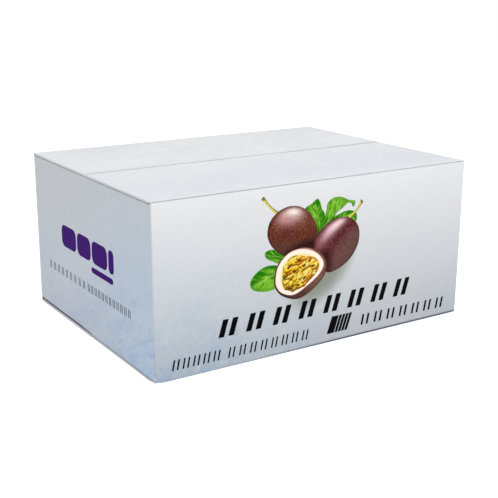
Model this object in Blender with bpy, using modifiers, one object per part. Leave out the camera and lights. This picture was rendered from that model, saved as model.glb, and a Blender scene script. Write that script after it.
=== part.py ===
"""A shut shipping carton of white-lined corrugated board, lying on its base.

The carton is a folded box whose long walls carry the outer flaps. Four outer flaps close it,
two above and two below, and each pair meets in a seam along the middle. The short walls
fold inwards under them. What can't be seen is solid.

Metres, +Z up. The origin is the middle of the base, and the long front wall faces -Y.
"""

import math

import bmesh
import bpy
from mathutils import Matrix

# Driving dimensions
LENGTH = 0.400  # outside, along the front wall
DEPTH = 0.300  # outside, front to back
HEIGHT = 0.182  # outside, over the closed flaps
BOARD = 0.0026  # thickness of the corrugated board
LINER = 0.0004  # thickness of each face sheet of the board
FOLD_RADIUS = 0.0018  # outside of the upright folds and of the folds into the outer flaps
END_FOLD_RADIUS = 0.0016  # outside of the folds from the short walls to the hidden inner flaps
FOLD_GAP = 0.0004  # crease between a long wall and its flap
UNDER_FLAP_GAP = 0.0005  # between an outer flap and the folded end below it
SEAM_GAP = 0.0009  # between the two outer flaps of one side
FLAP_SHORTFALL = 0.0004  # how far a flap's cut end stays back from the short wall's face
CORE_SETBACK = 0.0008  # how far the fluted core lies behind the cut edge of its face sheets

FOLD_SEGMENTS = 5
END_FOLD_SEGMENTS = 6
CUTTER_MARGIN = 0.010  # how far a cutter reaches past what it cuts

WHITE_PRINT = (0.70, 0.73, 0.78)
WHITE_FLAP = (0.80, 0.82, 0.85)


def clear_scene():
    for obj in list(bpy.data.objects):
        bpy.data.objects.remove(obj, do_unlink=True)


def new_collection(name):
    collection = bpy.data.collections.new(name)
    bpy.context.scene.collection.children.link(collection)
    return collection


def board_material(name, colour):
    material = bpy.data.materials.new(name)
    material.use_nodes = True
    shader = material.node_tree.nodes["Principled BSDF"]
    shader.inputs["Base Color"].default_value = (*colour, 1.0)
    shader.inputs["Roughness"].default_value = 0.55
    shader.inputs["Metallic"].default_value = 0.0
    return material


def place_in(obj, collection):
    for holder in list(obj.users_collection):
        holder.objects.unlink(obj)
    collection.objects.link(obj)


def make_cutter(obj, cutters):
    place_in(obj, cutters)
    obj.hide_render = True
    obj.display_type = "WIRE"


def folded_block(name, collection):
    """The carton's outer form: a box with rounded upright folds and rounded long folds.

    The short edges above and below stay square, because the flaps end there in a cut.
    """
    bpy.ops.mesh.primitive_cube_add(size=1.0, location=(0.0, 0.0, 0.0))
    block = bpy.context.active_object
    block.name = name
    block.data.name = name
    block.data.transform(
        Matrix.Translation((0.0, 0.0, HEIGHT / 2))
        @ Matrix.Diagonal((LENGTH, DEPTH, HEIGHT, 1.0))
    )
    mesh = bmesh.new()
    mesh.from_mesh(block.data)
    weight = mesh.edges.layers.float.new("bevel_weight_edge")
    for edge in mesh.edges:
        along = edge.verts[1].co - edge.verts[0].co
        runs_front_to_back = abs(along.y) > abs(along.x) and abs(along.y) > abs(along.z)
        edge[weight] = 0.0 if runs_front_to_back else 1.0
    mesh.to_mesh(block.data)
    mesh.free()
    bevel = block.modifiers.new("folds", "BEVEL")
    bevel.limit_method = "WEIGHT"
    bevel.width = FOLD_RADIUS
    bevel.segments = FOLD_SEGMENTS
    place_in(block, collection)
    return block


def prism(name, outline, half_width, turn):
    """A closed mesh: the flat outline as a filled curve, thickened both ways and turned into place."""
    curve = bpy.data.curves.new(name, "CURVE")
    curve.dimensions = "2D"
    curve.fill_mode = "BOTH"
    curve.extrude = half_width
    spline = curve.splines.new("POLY")
    spline.points.add(len(outline) - 1)
    for point, (across, up) in zip(spline.points, outline):
        point.co = (across, up, 0.0, 1.0)
    spline.use_cyclic_u = True
    drawn = bpy.data.objects.new(name + "_outline", curve)
    bpy.context.scene.collection.objects.link(drawn)
    drawn.matrix_world = turn
    bpy.context.view_layer.update()
    evaluated = drawn.evaluated_get(bpy.context.evaluated_depsgraph_get())
    mesh = bpy.data.meshes.new_from_object(evaluated)
    bpy.data.objects.remove(drawn, do_unlink=True)
    bpy.data.curves.remove(curve)
    welded = bmesh.new()
    welded.from_mesh(mesh)
    bmesh.ops.remove_doubles(welded, verts=welded.verts, dist=1e-6)
    bmesh.ops.recalc_face_normals(welded, faces=welded.faces)
    welded.to_mesh(mesh)
    welded.free()
    solid = bpy.data.objects.new(name, mesh)
    bpy.context.scene.collection.objects.link(solid)
    solid.matrix_world = turn
    return solid


# Turns an outline's (across, up) to (Y, Z), thickened along X
SEEN_FROM_END = Matrix(((0, 0, 1, 0), (1, 0, 0, 0), (0, 1, 0, 0), (0, 0, 0, 1)))
# Turns an outline's (across, up) to (X, Z), thickened along Y
SEEN_FROM_FRONT = Matrix(((1, 0, 0, 0), (0, 0, -1, 0), (0, 1, 0, 0), (0, 0, 0, 1)))


def boolean(target, cutter, operation):
    modifier = target.modifiers.new(operation.lower() + "_" + cutter.name, "BOOLEAN")
    modifier.operation = operation
    modifier.object = cutter
    modifier.solver = "EXACT"


def level(depth_below_top, is_top):
    """A height measured inwards from the carton's top or, for the lower flaps, from its base."""
    return HEIGHT - depth_below_top if is_top else depth_below_top


def recess_cutter(name, is_top, cutters):
    """What the flaps of one side take out of the block, with the rounded ends of the short walls."""
    floor = BOARD + UNDER_FLAP_GAP
    deepest = floor + END_FOLD_RADIUS + BOARD
    # The crease runs at 45 degrees through each long fold, and the wall's rim lies outside it.
    crease_drop = FOLD_GAP / math.sqrt(2)

    def rim(depth):
        return DEPTH / 2 - (depth - crease_drop)

    across = [
        (-rim(-CUTTER_MARGIN), -CUTTER_MARGIN),
        (-rim(deepest), deepest),
        (rim(deepest), deepest),
        (rim(-CUTTER_MARGIN), -CUTTER_MARGIN),
    ]
    trough = prism(
        name,
        [(y, level(depth, is_top)) for y, depth in across],
        LENGTH / 2 + CUTTER_MARGIN,
        SEEN_FROM_END,
    )
    make_cutter(trough, cutters)

    arc_centre = LENGTH / 2 - END_FOLD_RADIUS
    rounded_end = []
    for step in range(END_FOLD_SEGMENTS + 1):
        angle = math.radians(90) * step / END_FOLD_SEGMENTS
        rounded_end.append(
            (
                arc_centre + END_FOLD_RADIUS * math.sin(angle),
                floor + END_FOLD_RADIUS * (1 - math.cos(angle)),
            )
        )
    outer = LENGTH / 2 + 2 * CUTTER_MARGIN
    right = rounded_end + [(outer, floor + END_FOLD_RADIUS), (outer, -2 * CUTTER_MARGIN)]
    lengthwise = right + [(-x, depth) for x, depth in reversed(right)]
    ends = prism(
        name + "_ends",
        [(x, level(depth, is_top)) for x, depth in lengthwise],
        DEPTH / 2 + 2 * CUTTER_MARGIN,
        SEEN_FROM_FRONT,
    )
    make_cutter(ends, cutters)
    boolean(trough, ends, "INTERSECT")
    return trough


def core_cutter(name, is_top, cutters):
    """Two slots at the cut ends of the flaps, which set the fluted core back between the face sheets."""
    inner = LENGTH / 2 - FLAP_SHORTFALL - CORE_SETBACK
    outer = LENGTH / 2 + CUTTER_MARGIN
    slot_low, slot_high = sorted((level(BOARD - LINER, is_top), level(LINER, is_top)))
    mesh = bmesh.new()
    for side in (-1, 1):
        made = bmesh.ops.create_cube(mesh, size=1.0)
        size = Matrix.Diagonal((outer - inner, DEPTH - 2 * BOARD, slot_high - slot_low, 1.0))
        middle = Matrix.Translation((side * (inner + outer) / 2, 0.0, (slot_low + slot_high) / 2))
        bmesh.ops.transform(mesh, matrix=middle @ size, verts=made["verts"])
    data = bpy.data.meshes.new(name)
    mesh.to_mesh(data)
    mesh.free()
    slots = bpy.data.objects.new(name, data)
    bpy.context.scene.collection.objects.link(slots)
    make_cutter(slots, cutters)
    return slots


def outer_flap(name, is_top, is_front, slots, carton, cutters, material):
    """One outer flap: the part of the folded block between its crease and the middle seam."""
    crease_drop = FOLD_GAP / math.sqrt(2)
    side = -1 if is_front else 1

    def crease(depth):
        return DEPTH / 2 - (depth + crease_drop)

    across = [
        (side * crease(-CUTTER_MARGIN), -CUTTER_MARGIN),
        (side * crease(BOARD), BOARD),
        (side * SEAM_GAP / 2, BOARD),
        (side * SEAM_GAP / 2, -CUTTER_MARGIN),
    ]
    bounds = prism(
        name + "_bounds",
        [(y, level(depth, is_top)) for y, depth in across],
        LENGTH / 2 - FLAP_SHORTFALL,
        SEEN_FROM_END,
    )
    make_cutter(bounds, cutters)
    flap = folded_block(name, carton)
    boolean(flap, bounds, "INTERSECT")
    boolean(flap, slots, "DIFFERENCE")
    flap.data.materials.append(material)
    return flap


def finish_shading(obj, cut_angle=math.radians(30)):
    obj.data.shade_smooth()
    obj.data.set_sharp_from_angle(angle=cut_angle)


def build():
    clear_scene()
    carton = new_collection("shipping_carton")
    cutters = new_collection("cutters")
    printed = board_material("printed_board", WHITE_PRINT)
    lid = board_material("flap_board", WHITE_FLAP)

    body = folded_block("carton_body", carton)
    body.data.materials.append(printed)
    finish_shading(body)
    for place, is_top in (("top", True), ("bottom", False)):
        boolean(body, recess_cutter(place + "_recess", is_top, cutters), "DIFFERENCE")
        slots = core_cutter(place + "_core_slots", is_top, cutters)
        for where, is_front in (("front", True), ("back", False)):
            name = f"{place}_flap_{where}"
            flap = outer_flap(name, is_top, is_front, slots, carton, cutters, lid)
            finish_shading(flap)


build()
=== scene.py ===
import math
import random

import bmesh
import bpy
from mathutils import Matrix, Vector


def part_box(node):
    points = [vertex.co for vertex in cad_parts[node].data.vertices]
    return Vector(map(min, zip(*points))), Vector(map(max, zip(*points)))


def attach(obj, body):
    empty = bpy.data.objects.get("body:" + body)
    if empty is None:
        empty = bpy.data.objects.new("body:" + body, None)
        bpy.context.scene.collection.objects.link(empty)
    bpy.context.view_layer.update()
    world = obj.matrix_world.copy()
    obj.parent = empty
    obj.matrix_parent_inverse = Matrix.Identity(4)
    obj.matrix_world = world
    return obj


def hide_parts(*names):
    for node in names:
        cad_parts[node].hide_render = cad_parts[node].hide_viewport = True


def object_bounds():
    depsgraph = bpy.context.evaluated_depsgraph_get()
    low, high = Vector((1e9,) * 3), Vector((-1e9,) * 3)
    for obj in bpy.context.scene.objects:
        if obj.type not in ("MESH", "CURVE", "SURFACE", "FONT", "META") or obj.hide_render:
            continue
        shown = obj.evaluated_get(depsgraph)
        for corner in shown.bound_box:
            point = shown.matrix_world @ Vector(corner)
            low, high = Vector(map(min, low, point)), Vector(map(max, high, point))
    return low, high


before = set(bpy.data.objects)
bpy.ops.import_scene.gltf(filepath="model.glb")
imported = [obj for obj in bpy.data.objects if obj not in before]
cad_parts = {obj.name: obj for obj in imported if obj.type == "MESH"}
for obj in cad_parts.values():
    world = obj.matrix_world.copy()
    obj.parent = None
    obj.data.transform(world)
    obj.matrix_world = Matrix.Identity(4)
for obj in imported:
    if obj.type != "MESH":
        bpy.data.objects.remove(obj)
cadLow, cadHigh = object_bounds()

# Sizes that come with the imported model, in metres
length = cadHigh.x - cadLow.x
depth = cadHigh.y - cadLow.y
height = cadHigh.z - cadLow.z
lidLow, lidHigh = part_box("top_flap_front")
board = lidHigh.z - lidLow.z  # thickness of the corrugated board
seam = -2 * lidHigh.y  # between the two flaps of one side

# The folded box, shared by walls and flaps
carton = {
    "bow": 0.0006,  # the folds lie this far inside the outside size, and the walls swell out to it
    "crown": 0.67,  # share of that which a wall swells at its middle
    "ripple": 0.08,
    "rippleWaves": (41, 57),  # radians per metre, across and up
    "faceMargin": 0.0009,  # a fold this near to a long wall's plane has that wall's print
    "foldRadius": 0.0018,
    "endFoldRadius": 0.0008,  # short walls into the hidden flaps
    "crease": 0.00022,  # open line along the folds of the long walls
    "underFlap": 0.0005,  # between an outer flap and the folded end under it
    "liner": 0.0004,
    "flutePitch": 0.0064,
    "cornerDent": 0.0017,  # the corner that took a knock is pushed in
    "softCorners": 0.2,  # share of that at the other lower corners
    "dentReach": 0.011,
    "dentRise": 0.8,
}
halfX = length / 2 - carton["bow"]
halfY = depth / 2 - carton["bow"]
floorDepth = board + carton["underFlap"]

# Each wall seen from outside: its middle at the base, its right, its way out, half its width
wallFrames = {
    "front": (Vector((0, -halfY, 0)), Vector((1, 0, 0)), Vector((0, -1, 0)), halfX),
    "right": (Vector((halfX, 0, 0)), Vector((0, 1, 0)), Vector((1, 0, 0)), halfY),
    "back": (Vector((0, halfY, 0)), Vector((-1, 0, 0)), Vector((0, 1, 0)), halfX),
    "left": (Vector((-halfX, 0, 0)), Vector((0, -1, 0)), Vector((-1, 0, 0)), halfY),
}


def printColour(red, green, blue):
    # Screen values from 0 to 255, as the shader's linear colour
    def linear(value):
        value /= 255
        return value / 12.92 if value <= 0.04045 else ((value + 0.055) / 1.055) ** 2.4

    return (linear(red), linear(green), linear(blue), 1.0)


def smooth(value, start, end):
    t = min(1.0, max(0.0, (value - start) / (end - start)))
    return t * t * (3 - 2 * t)


def swell(across, up, half):
    # How far a wall stands out from the plane through its folds
    crown = (1 - (across / half) ** 2) * (1 - (2 * up / height - 1) ** 2)
    wide, tall = carton["rippleWaves"]
    ripple = carton["ripple"] * math.sin(across * wide + 0.7) * math.sin(up * tall + 0.4)
    return carton["bow"] * crown * (carton["crown"] + ripple)


def pushIn(point):
    # One lower corner took a knock, and the others are a little soft from standing
    corner = Vector((math.copysign(halfX, point.x), math.copysign(halfY, point.y), 0))
    knocked = corner.x < 0 and corner.y < 0
    near = 1 - min(1.0, (point - corner).length / carton["dentReach"])
    inwards = Vector((-math.copysign(1, point.x), -math.copysign(1, point.y), carton["dentRise"]))
    inwards.normalize()
    dent = carton["cornerDent"] * (1.0 if knocked else carton["softCorners"])
    return point + inwards * dent * near * near * (3 - 2 * near)


# Node helpers
def feed(tree, node, values):
    for name, value in values.items():
        if isinstance(value, bpy.types.NodeSocket):
            tree.links.new(value, node.inputs[name])
        else:
            node.inputs[name].default_value = value
    return node


def addNode(tree, kind, values=None, **settings):
    node = tree.nodes.new(kind)
    for name, value in settings.items():
        setattr(node, name, value)
    return feed(tree, node, values or {})


def maths(tree, operation, *values, clamp=False):
    node = addNode(tree, "ShaderNodeMath", operation=operation, use_clamp=clamp)
    feed(tree, node, dict(enumerate(values)))
    return node.outputs[0]


def remap(tree, value, fromLow, fromHigh, toLow=0.0, toHigh=1.0):
    places = {"Value": value, "From Min": fromLow, "From Max": fromHigh, "To Min": toLow, "To Max": toHigh}
    return addNode(tree, "ShaderNodeMapRange", places, interpolation_type="SMOOTHSTEP").outputs[0]


def mixColour(tree, factor, first, second, mode="MIX"):
    node = addNode(tree, "ShaderNodeMix", data_type="RGBA", blend_type=mode)
    return feed(tree, node, {0: factor, 6: first, 7: second}).outputs[2]


def tinted(tree, base, mask, share, colour):
    # A share of the colour laid over the base wherever the mask is
    return mixColour(tree, maths(tree, "MULTIPLY", mask, share), base, colour)


def multiplied(tree, base, colour):
    return mixColour(tree, 1.0, base, colour, "MULTIPLY")


def mixValue(tree, factor, first, second):
    node = addNode(tree, "ShaderNodeMix", data_type="FLOAT")
    return feed(tree, node, {0: factor, 2: first, 3: second}).outputs[0]


def noiseField(tree, coords, scale, detail=4.0, roughness=0.55, distortion=0.0):
    places = {"Vector": coords, "Scale": scale, "Detail": detail, "Roughness": roughness}
    places["Distortion"] = distortion
    return addNode(tree, "ShaderNodeTexNoise", places).outputs[0]


def objectCoords(tree):
    return addNode(tree, "ShaderNodeTexCoord").outputs["Object"]


def vectorMaths(tree, operation, *values):
    node = addNode(tree, "ShaderNodeVectorMath", operation=operation)
    return feed(tree, node, dict(enumerate(values))).outputs


def splitVector(tree, vector):
    return addNode(tree, "ShaderNodeSeparateXYZ", {0: vector}).outputs


def facesAlong(tree, axis):
    # 1 where the surface faces along X, Y or Z, either way
    out = splitVector(tree, addNode(tree, "ShaderNodeTexCoord").outputs["Normal"])
    return maths(tree, "GREATER_THAN", maths(tree, "ABSOLUTE", out[axis]), 0.7)


def turnedPlace(tree, across, up, degrees):
    # A place on a wall, measured along and square to a line that leans by so many degrees
    cos, sin = math.cos(math.radians(degrees)), math.sin(math.radians(degrees))
    along = maths(tree, "MULTIPLY_ADD", across, cos, maths(tree, "MULTIPLY", up, sin))
    side = maths(tree, "MULTIPLY_ADD", across, -sin, maths(tree, "MULTIPLY", up, cos))
    return along, side


def layered(tree, base, layers):
    # Colours laid over the base one after another, each by its own mask
    for mask, colour in layers:
        base = mixColour(tree, mask, base, printColour(*colour))
    return base


def attributeVector(tree, name):
    return addNode(tree, "ShaderNodeAttribute", attribute_name=name).outputs["Vector"]


def newGroup(name, inputs, outputs):
    group = bpy.data.node_groups.new(name, "ShaderNodeTree")
    for title, kind, value in inputs:
        group.interface.new_socket(title, in_out="INPUT", socket_type=kind).default_value = value
    for title, kind in outputs:
        group.interface.new_socket(title, in_out="OUTPUT", socket_type=kind)
    start = group.nodes.new("NodeGroupInput")
    end = group.nodes.new("NodeGroupOutput")
    return group, start.outputs, end


def useGroup(tree, group, values=None):
    node = tree.nodes.new("ShaderNodeGroup")
    node.node_tree = group
    return feed(tree, node, values or {}).outputs


def newMaterial(name):
    material = bpy.data.materials.new(name)
    material.use_nodes = True
    tree = material.node_tree
    return material, tree, tree.nodes["Principled BSDF"]


# Frost as it is printed on the board: soft clouds, pale strokes and darker cracks between them
frost = {
    "lean": 27,  # degrees that its strokes rise to the right
    "longDrawn": 0.62,  # how far the strokes are drawn out: less is longer
    "endDrawn": 0.3,
    "wideScale": 26.0,
    "smallScale": 130.0,
    "strokes": (("Veins", 0.0, 190.0), ("Cracks", 7.3, 170.0)),  # output, place in the noise, scale
    "patchScale": 44.0,
}


def makeFrost():
    group, given, result = newGroup(
        "frostPrint",
        [("Size", "NodeSocketFloat", 1.0)],
        [("Clouds", "NodeSocketFloat"), ("Veins", "NodeSocketFloat"), ("Cracks", "NodeSocketFloat")],
    )
    # Its strokes rise to the right on each wall, and are drawn out on the short walls
    spot = splitVector(group, objectCoords(group))
    onEnd = facesAlong(group, 0)
    onLid = facesAlong(group, 2)
    facing = maths(group, "MULTIPLY", maths(group, "SIGN", spot[1]), -1.0)
    longAlong = maths(group, "MULTIPLY", spot[0], facing)
    endAlong = maths(group, "MULTIPLY", spot[1], maths(group, "SIGN", spot[0]))
    along = mixValue(group, onEnd, longAlong, endAlong)
    along = mixValue(group, onLid, along, spot[0])
    upward = mixValue(group, onLid, spot[2], spot[1])
    stroke, across = turnedPlace(group, along, upward, frost["lean"])
    drawn = maths(group, "MULTIPLY", stroke, mixValue(group, onEnd, frost["longDrawn"], frost["endDrawn"]))
    coords = addNode(group, "ShaderNodeCombineXYZ", {0: drawn, 1: across, 2: 0.3}).outputs[0]

    def scaled(value):
        return maths(group, "DIVIDE", value, given["Size"])

    wide = noiseField(group, coords, scaled(frost["wideScale"]), 3.0, 0.5, 0.4)
    small = noiseField(group, coords, scaled(frost["smallScale"]), 6.0, 0.68, 0.3)
    clouds = maths(group, "MULTIPLY_ADD", wide, 0.5, maths(group, "MULTIPLY", small, 0.5))
    feed(group, result, {"Clouds": remap(group, clouds, 0.4, 0.6)})
    for title, seed, scale in frost["strokes"]:
        moved = vectorMaths(group, "ADD", coords, (seed, seed, seed))[0]
        field = noiseField(group, moved, scaled(scale), 5.0, 0.62, 0.25)
        patchy = remap(group, noiseField(group, moved, scaled(frost["patchScale"]), 2.0), 0.4, 0.62)
        feed(group, result, {title: maths(group, "MULTIPLY", remap(group, field, 0.5, 0.68), patchy)})
    return group


# Clay-coated paper: fine fibres and an uneven coat
paper = {"fibreScale": 900.0, "cloudScale": 130.0, "cloudShare": 0.6, "darkest": 0.965}


def makePaper():
    group, given, result = newGroup(
        "coatedPaper",
        [("Fibre", "NodeSocketFloat", 1.0)],
        [("Height", "NodeSocketFloat"), ("Tone", "NodeSocketFloat"), ("Gloss", "NodeSocketFloat")],
    )
    coords = objectCoords(group)
    fibres = noiseField(group, coords, paper["fibreScale"], 5.0, 0.7, 0.6)
    clouds = noiseField(group, coords, paper["cloudScale"], 4.0, 0.6)
    grain = maths(group, "MULTIPLY", fibres, given["Fibre"])
    raised = maths(group, "ADD", grain, maths(group, "MULTIPLY", clouds, paper["cloudShare"]))
    tone = remap(group, maths(group, "ADD", fibres, clouds), 0.6, 1.4, paper["darkest"], 1.0)
    feed(group, result, {"Height": raised, "Tone": tone, "Gloss": remap(group, clouds, 0.3, 0.7)})
    return group


# The flutes of the core, which show through the face sheet as faint ribs
flutes = {"wanderScale": 16.0, "wander": 0.0016, "darker": 0.002}


def makeFlutes():
    group, given, result = newGroup(
        "fluteLines",
        [("Pitch", "NodeSocketFloat", carton["flutePitch"])],
        [("Height", "NodeSocketFloat"), ("Tone", "NodeSocketFloat")],
    )
    coords = objectCoords(group)
    spot = splitVector(group, coords)
    across = mixValue(group, facesAlong(group, 0), spot[0], spot[1])
    wander = noiseField(group, coords, flutes["wanderScale"], 2.0)
    wander = maths(group, "MULTIPLY", wander, flutes["wander"])
    turns = maths(group, "DIVIDE", maths(group, "ADD", across, wander), given["Pitch"])
    wave = maths(group, "SINE", maths(group, "MULTIPLY", turns, 2 * math.pi))
    tone = maths(group, "MULTIPLY_ADD", wave, flutes["darker"], 1 - flutes["darker"])
    feed(group, result, {"Height": maths(group, "MULTIPLY_ADD", wave, 0.5, 0.5), "Tone": tone})
    return group


# Worn folds: how close a point is to the nearest fold of the box, broken up by handling
wear = {"scale": 420.0, "breakWidth": 0.12}


def makeFoldWear():
    group, given, result = newGroup(
        "foldWear",
        [("Reach", "NodeSocketFloat", 0.0012), ("Breaks", "NodeSocketFloat", 0.5)],
        [("Mask", "NodeSocketFloat")],
    )
    coords = objectCoords(group)
    spot = splitVector(group, coords)
    fromX = maths(group, "SUBTRACT", length / 2, maths(group, "ABSOLUTE", spot[0]))
    fromY = maths(group, "SUBTRACT", depth / 2, maths(group, "ABSOLUTE", spot[1]))
    fromZ = maths(group, "MINIMUM", spot[2], maths(group, "SUBTRACT", height, spot[2]))
    least = maths(group, "MINIMUM", fromX, fromY)
    most = maths(group, "MAXIMUM", fromX, fromY)
    # The second smallest distance from a face is how far the nearest edge lies
    second = maths(group, "MAXIMUM", least, maths(group, "MINIMUM", most, fromZ))
    near = maths(group, "SUBTRACT", 1.0, maths(group, "DIVIDE", second, given["Reach"]), clamp=True)
    broken = noiseField(group, coords, wear["scale"], 5.0, 0.7)
    gate = remap(group, broken, given["Breaks"], maths(group, "ADD", given["Breaks"], wear["breakWidth"]))
    feed(group, result, {"Mask": maths(group, "MULTIPLY", near, gate)})
    return group


# Light rubs and dull smears from handling
touched = {
    "smearScale": 22.0,
    "rubScale": 260.0,
    "rubTurn": (0.3, 0.9, 0.4),
    "rubDrawn": (9.0, 1.0, 1.0),
    "placeScale": 11.0,  # how widely the rubbed places are spread
}


def makeHandling():
    group, given, result = newGroup(
        "handling",
        [("Amount", "NodeSocketFloat", 1.0)],
        [("Smears", "NodeSocketFloat"), ("Rubs", "NodeSocketFloat")],
    )
    coords = objectCoords(group)
    smears = remap(group, noiseField(group, coords, touched["smearScale"], 5.0, 0.65, 1.5), 0.52, 0.78)
    places = {"Vector": coords, "Rotation": touched["rubTurn"], "Scale": touched["rubDrawn"]}
    long = addNode(group, "ShaderNodeMapping", places, vector_type="TEXTURE").outputs[0]
    rubs = remap(group, noiseField(group, long, touched["rubScale"], 3.0, 0.5), 0.68, 0.74)
    where = remap(group, noiseField(group, coords, touched["placeScale"], 2.0), 0.5, 0.62)
    feed(group, result, {"Smears": maths(group, "MULTIPLY", smears, given["Amount"])})
    gated = maths(group, "MULTIPLY", rubs, where)
    feed(group, result, {"Rubs": maths(group, "MULTIPLY", gated, given["Amount"])})
    return group


# Ink laid on board: fine screen of dots and a slightly uneven film
film = {"scale": 340.0, "speckScale": 1500.0, "under": (0.62, 0.65, 0.7, 1)}


def makeInkFilm():
    group, given, result = newGroup(
        "inkFilm",
        [("Ink", "NodeSocketColor", (0, 0, 0, 1)), ("Thin", "NodeSocketFloat", 0.1)],
        [("Color", "NodeSocketColor"), ("Gloss", "NodeSocketFloat")],
    )
    coords = objectCoords(group)
    uneven = noiseField(group, coords, film["scale"], 5.0, 0.7)
    specks = remap(group, noiseField(group, coords, film["speckScale"], 2.0), 0.7, 0.78)
    cover = maths(group, "MULTIPLY", remap(group, uneven, 0.35, 0.75), given["Thin"])
    through = maths(group, "MULTIPLY_ADD", specks, given["Thin"], cover, clamp=True)
    feed(group, result, {"Color": mixColour(group, through, given["Ink"], film["under"])})
    feed(group, result, {"Gloss": remap(group, uneven, 0.3, 0.7)})
    return group


# A round thing as an illustrator shades it: light and dark side, glow, highlight, rim, light from below
def makePaintedForm():
    group, given, result = newGroup(
        "paintedForm",
        [
            ("Light", "NodeSocketVector", (-0.1, 0.72, 0.68)),
            ("Tightness", "NodeSocketFloat", 10.0),
            ("Gleam", "NodeSocketVector", (-0.1, 0.72, 0.68)),
            ("Sharpness", "NodeSocketFloat", 26.0),
            ("Below", "NodeSocketVector", (0.1, -0.8, 0.45)),
            ("Beside", "NodeSocketVector", (0.9, 0.1, 0.4)),
        ],
        [(title, "NodeSocketFloat") for title in ("Shade", "Glow", "Highlight", "Edge", "Bounce", "Flank")],
    )
    form = attributeVector(group, "form")

    def towards(way):
        return vectorMaths(group, "DOT_PRODUCT", form, vectorMaths(group, "NORMALIZE", way)[0])["Value"]

    facing = towards(given["Light"])
    lit = maths(group, "MAXIMUM", facing, 0.0)
    gleam = maths(group, "MAXIMUM", towards(given["Gleam"]), 0.0)
    feed(group, result, {"Shade": remap(group, facing, -0.3, 0.95)})
    glow = maths(group, "POWER", lit, given["Tightness"])
    feed(group, result, {"Glow": maths(group, "MULTIPLY", glow, 1.6, clamp=True)})
    feed(group, result, {"Highlight": maths(group, "POWER", gleam, given["Sharpness"])})
    feed(group, result, {"Edge": remap(group, splitVector(group, form)[2], 0.52, 0.0)})
    feed(group, result, {"Bounce": remap(group, towards(given["Below"]), 0.55, 1.0)})
    feed(group, result, {"Flank": remap(group, towards(given["Beside"]), 0.4, 0.95)})
    return group


# Skin as it is drawn in dots: pale grain, dusky grain and blushed patches
skinGrain = {"cellScale": 1250.0, "grainScale": 900.0, "blushScale": 48.0}


def makeSkinGrain():
    group, given, result = newGroup(
        "skinGrain",
        [("Coarseness", "NodeSocketFloat", 1.0)],
        [("Pale", "NodeSocketFloat"), ("Dusk", "NodeSocketFloat"), ("Blush", "NodeSocketFloat")],
    )
    coords = objectCoords(group)

    def scaled(value):
        return maths(group, "DIVIDE", value, given["Coarseness"])

    places = {"Vector": coords, "Scale": scaled(skinGrain["cellScale"])}
    cells = addNode(group, "ShaderNodeTexVoronoi", places).outputs["Color"]
    cell = maths(group, "MULTIPLY", splitVector(group, cells)[0], 0.5)
    grain = maths(group, "ADD", noiseField(group, coords, scaled(skinGrain["grainScale"]), 3.0, 0.7), cell)
    blush = noiseField(group, coords, skinGrain["blushScale"], 3.0)
    feed(group, result, {"Pale": remap(group, grain, 0.78, 1.05), "Dusk": remap(group, grain, 0.74, 0.5)})
    feed(group, result, {"Blush": remap(group, blush, 0.42, 0.66)})
    return group


frostPrint = makeFrost()
coatedPaper = makePaper()
fluteLines = makeFlutes()
foldWear = makeFoldWear()
handling = makeHandling()
inkFilm = makeInkFilm()
paintedForm = makePaintedForm()
grainedSkin = makeSkinGrain()
print("node groups made")


# Relief and sheen that board and the inks on it share
surface = {
    "ribs": 0.000008,  # metres
    "fibres": 0.000010,
    "rough": 0.46,
    "uneven": 0.06,
    "specular": 0.35,
}


def boardRelief(tree, shader):
    ribs = useGroup(tree, fluteLines)
    coat = useGroup(tree, coatedPaper)
    raised = maths(tree, "MULTIPLY", ribs["Height"], surface["ribs"])
    total = maths(tree, "MULTIPLY_ADD", coat["Height"], surface["fibres"], raised)
    bump = addNode(tree, "ShaderNodeBump", {"Height": total, "Distance": 1.0, "Strength": 1.0})
    feed(tree, shader, {"Normal": bump.outputs[0]})
    return ribs, coat


def finishBoard(tree, shader, tone, ribs, coat, dull):
    # Ribs and fibres in the tone, and the sheen of the coat with what dulls it
    tone = multiplied(tree, tone, maths(tree, "MULTIPLY", ribs["Tone"], coat["Tone"]))
    gloss = maths(tree, "MULTIPLY_ADD", coat["Gloss"], surface["uneven"], surface["rough"])
    for mask, share in dull:
        gloss = maths(tree, "MULTIPLY_ADD", mask, share, gloss)
    feed(tree, shader, {"Base Color": tone, "Roughness": gloss, "Specular IOR Level": surface["specular"]})


wallPrint = {
    "top": printColour(232, 233, 234),
    "low": printColour(183, 187, 192),
    "lowBlue": printColour(170, 182, 192),
    "endTop": printColour(229, 232, 236),
    "endLow": printColour(216, 224, 236),
    "endChill": (0.84, 0.975, 1.06, 1.0),  # multiplies the short walls' tone beside the icy corner
    "frost": printColour(240, 246, 252),
    "cold": printColour(222, 236, 254),  # multiplies the tone under the frost's clouds
    "crack": printColour(128, 136, 176),
    "shade": (0.42, 0.44, 0.34, 1.0),  # multiplies the tone under the picture
    "shadeSpot": (0.0, 0.079),  # from the wall's middle and from the base
    "shadeReach": (0.050, 0.026),
    "shadeLean": 35,
    "coreShows": printColour(226, 226, 224),
    # painted shade along the folds: creases, gaps at the flaps and where the box stands
    "paintedFoldShade": printColour(58, 66, 92),
    "rub": printColour(236, 238, 240),
    "fade": 0.92,  # how the long walls' tone rises from the base
    "frostFall": 2.2,  # how fast the frost thins out upwards
    "longFrost": 0.85,  # share of the frost on the long walls
    # Bands are from, to and the two values there; distances are from the box's diagonal, in metres
    "gather": (0.06, 0.36, 0.12, 1.0),
    "endGather": (0.0, 0.3, 0.3, 0.9),
    "endFall": (0.3, 0.95, 0.1, 0.86),
    "chillGather": (0.14, 0.35),
    "chillFall": (0.0, 0.5, 0.3, 0.72),
    "cloudShare": (0.85, 0.03),  # under full frost, and everywhere
    "crackShare": (0.4, 0.01),
    "veinShare": (0.42, 0.02),
    "wornReach": 0.0016,  # from a fold
    "wornShare": 0.35,
    "rubShare": 0.12,
    "dull": {"smears": 0.09, "worn": 0.3},
}


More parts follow.
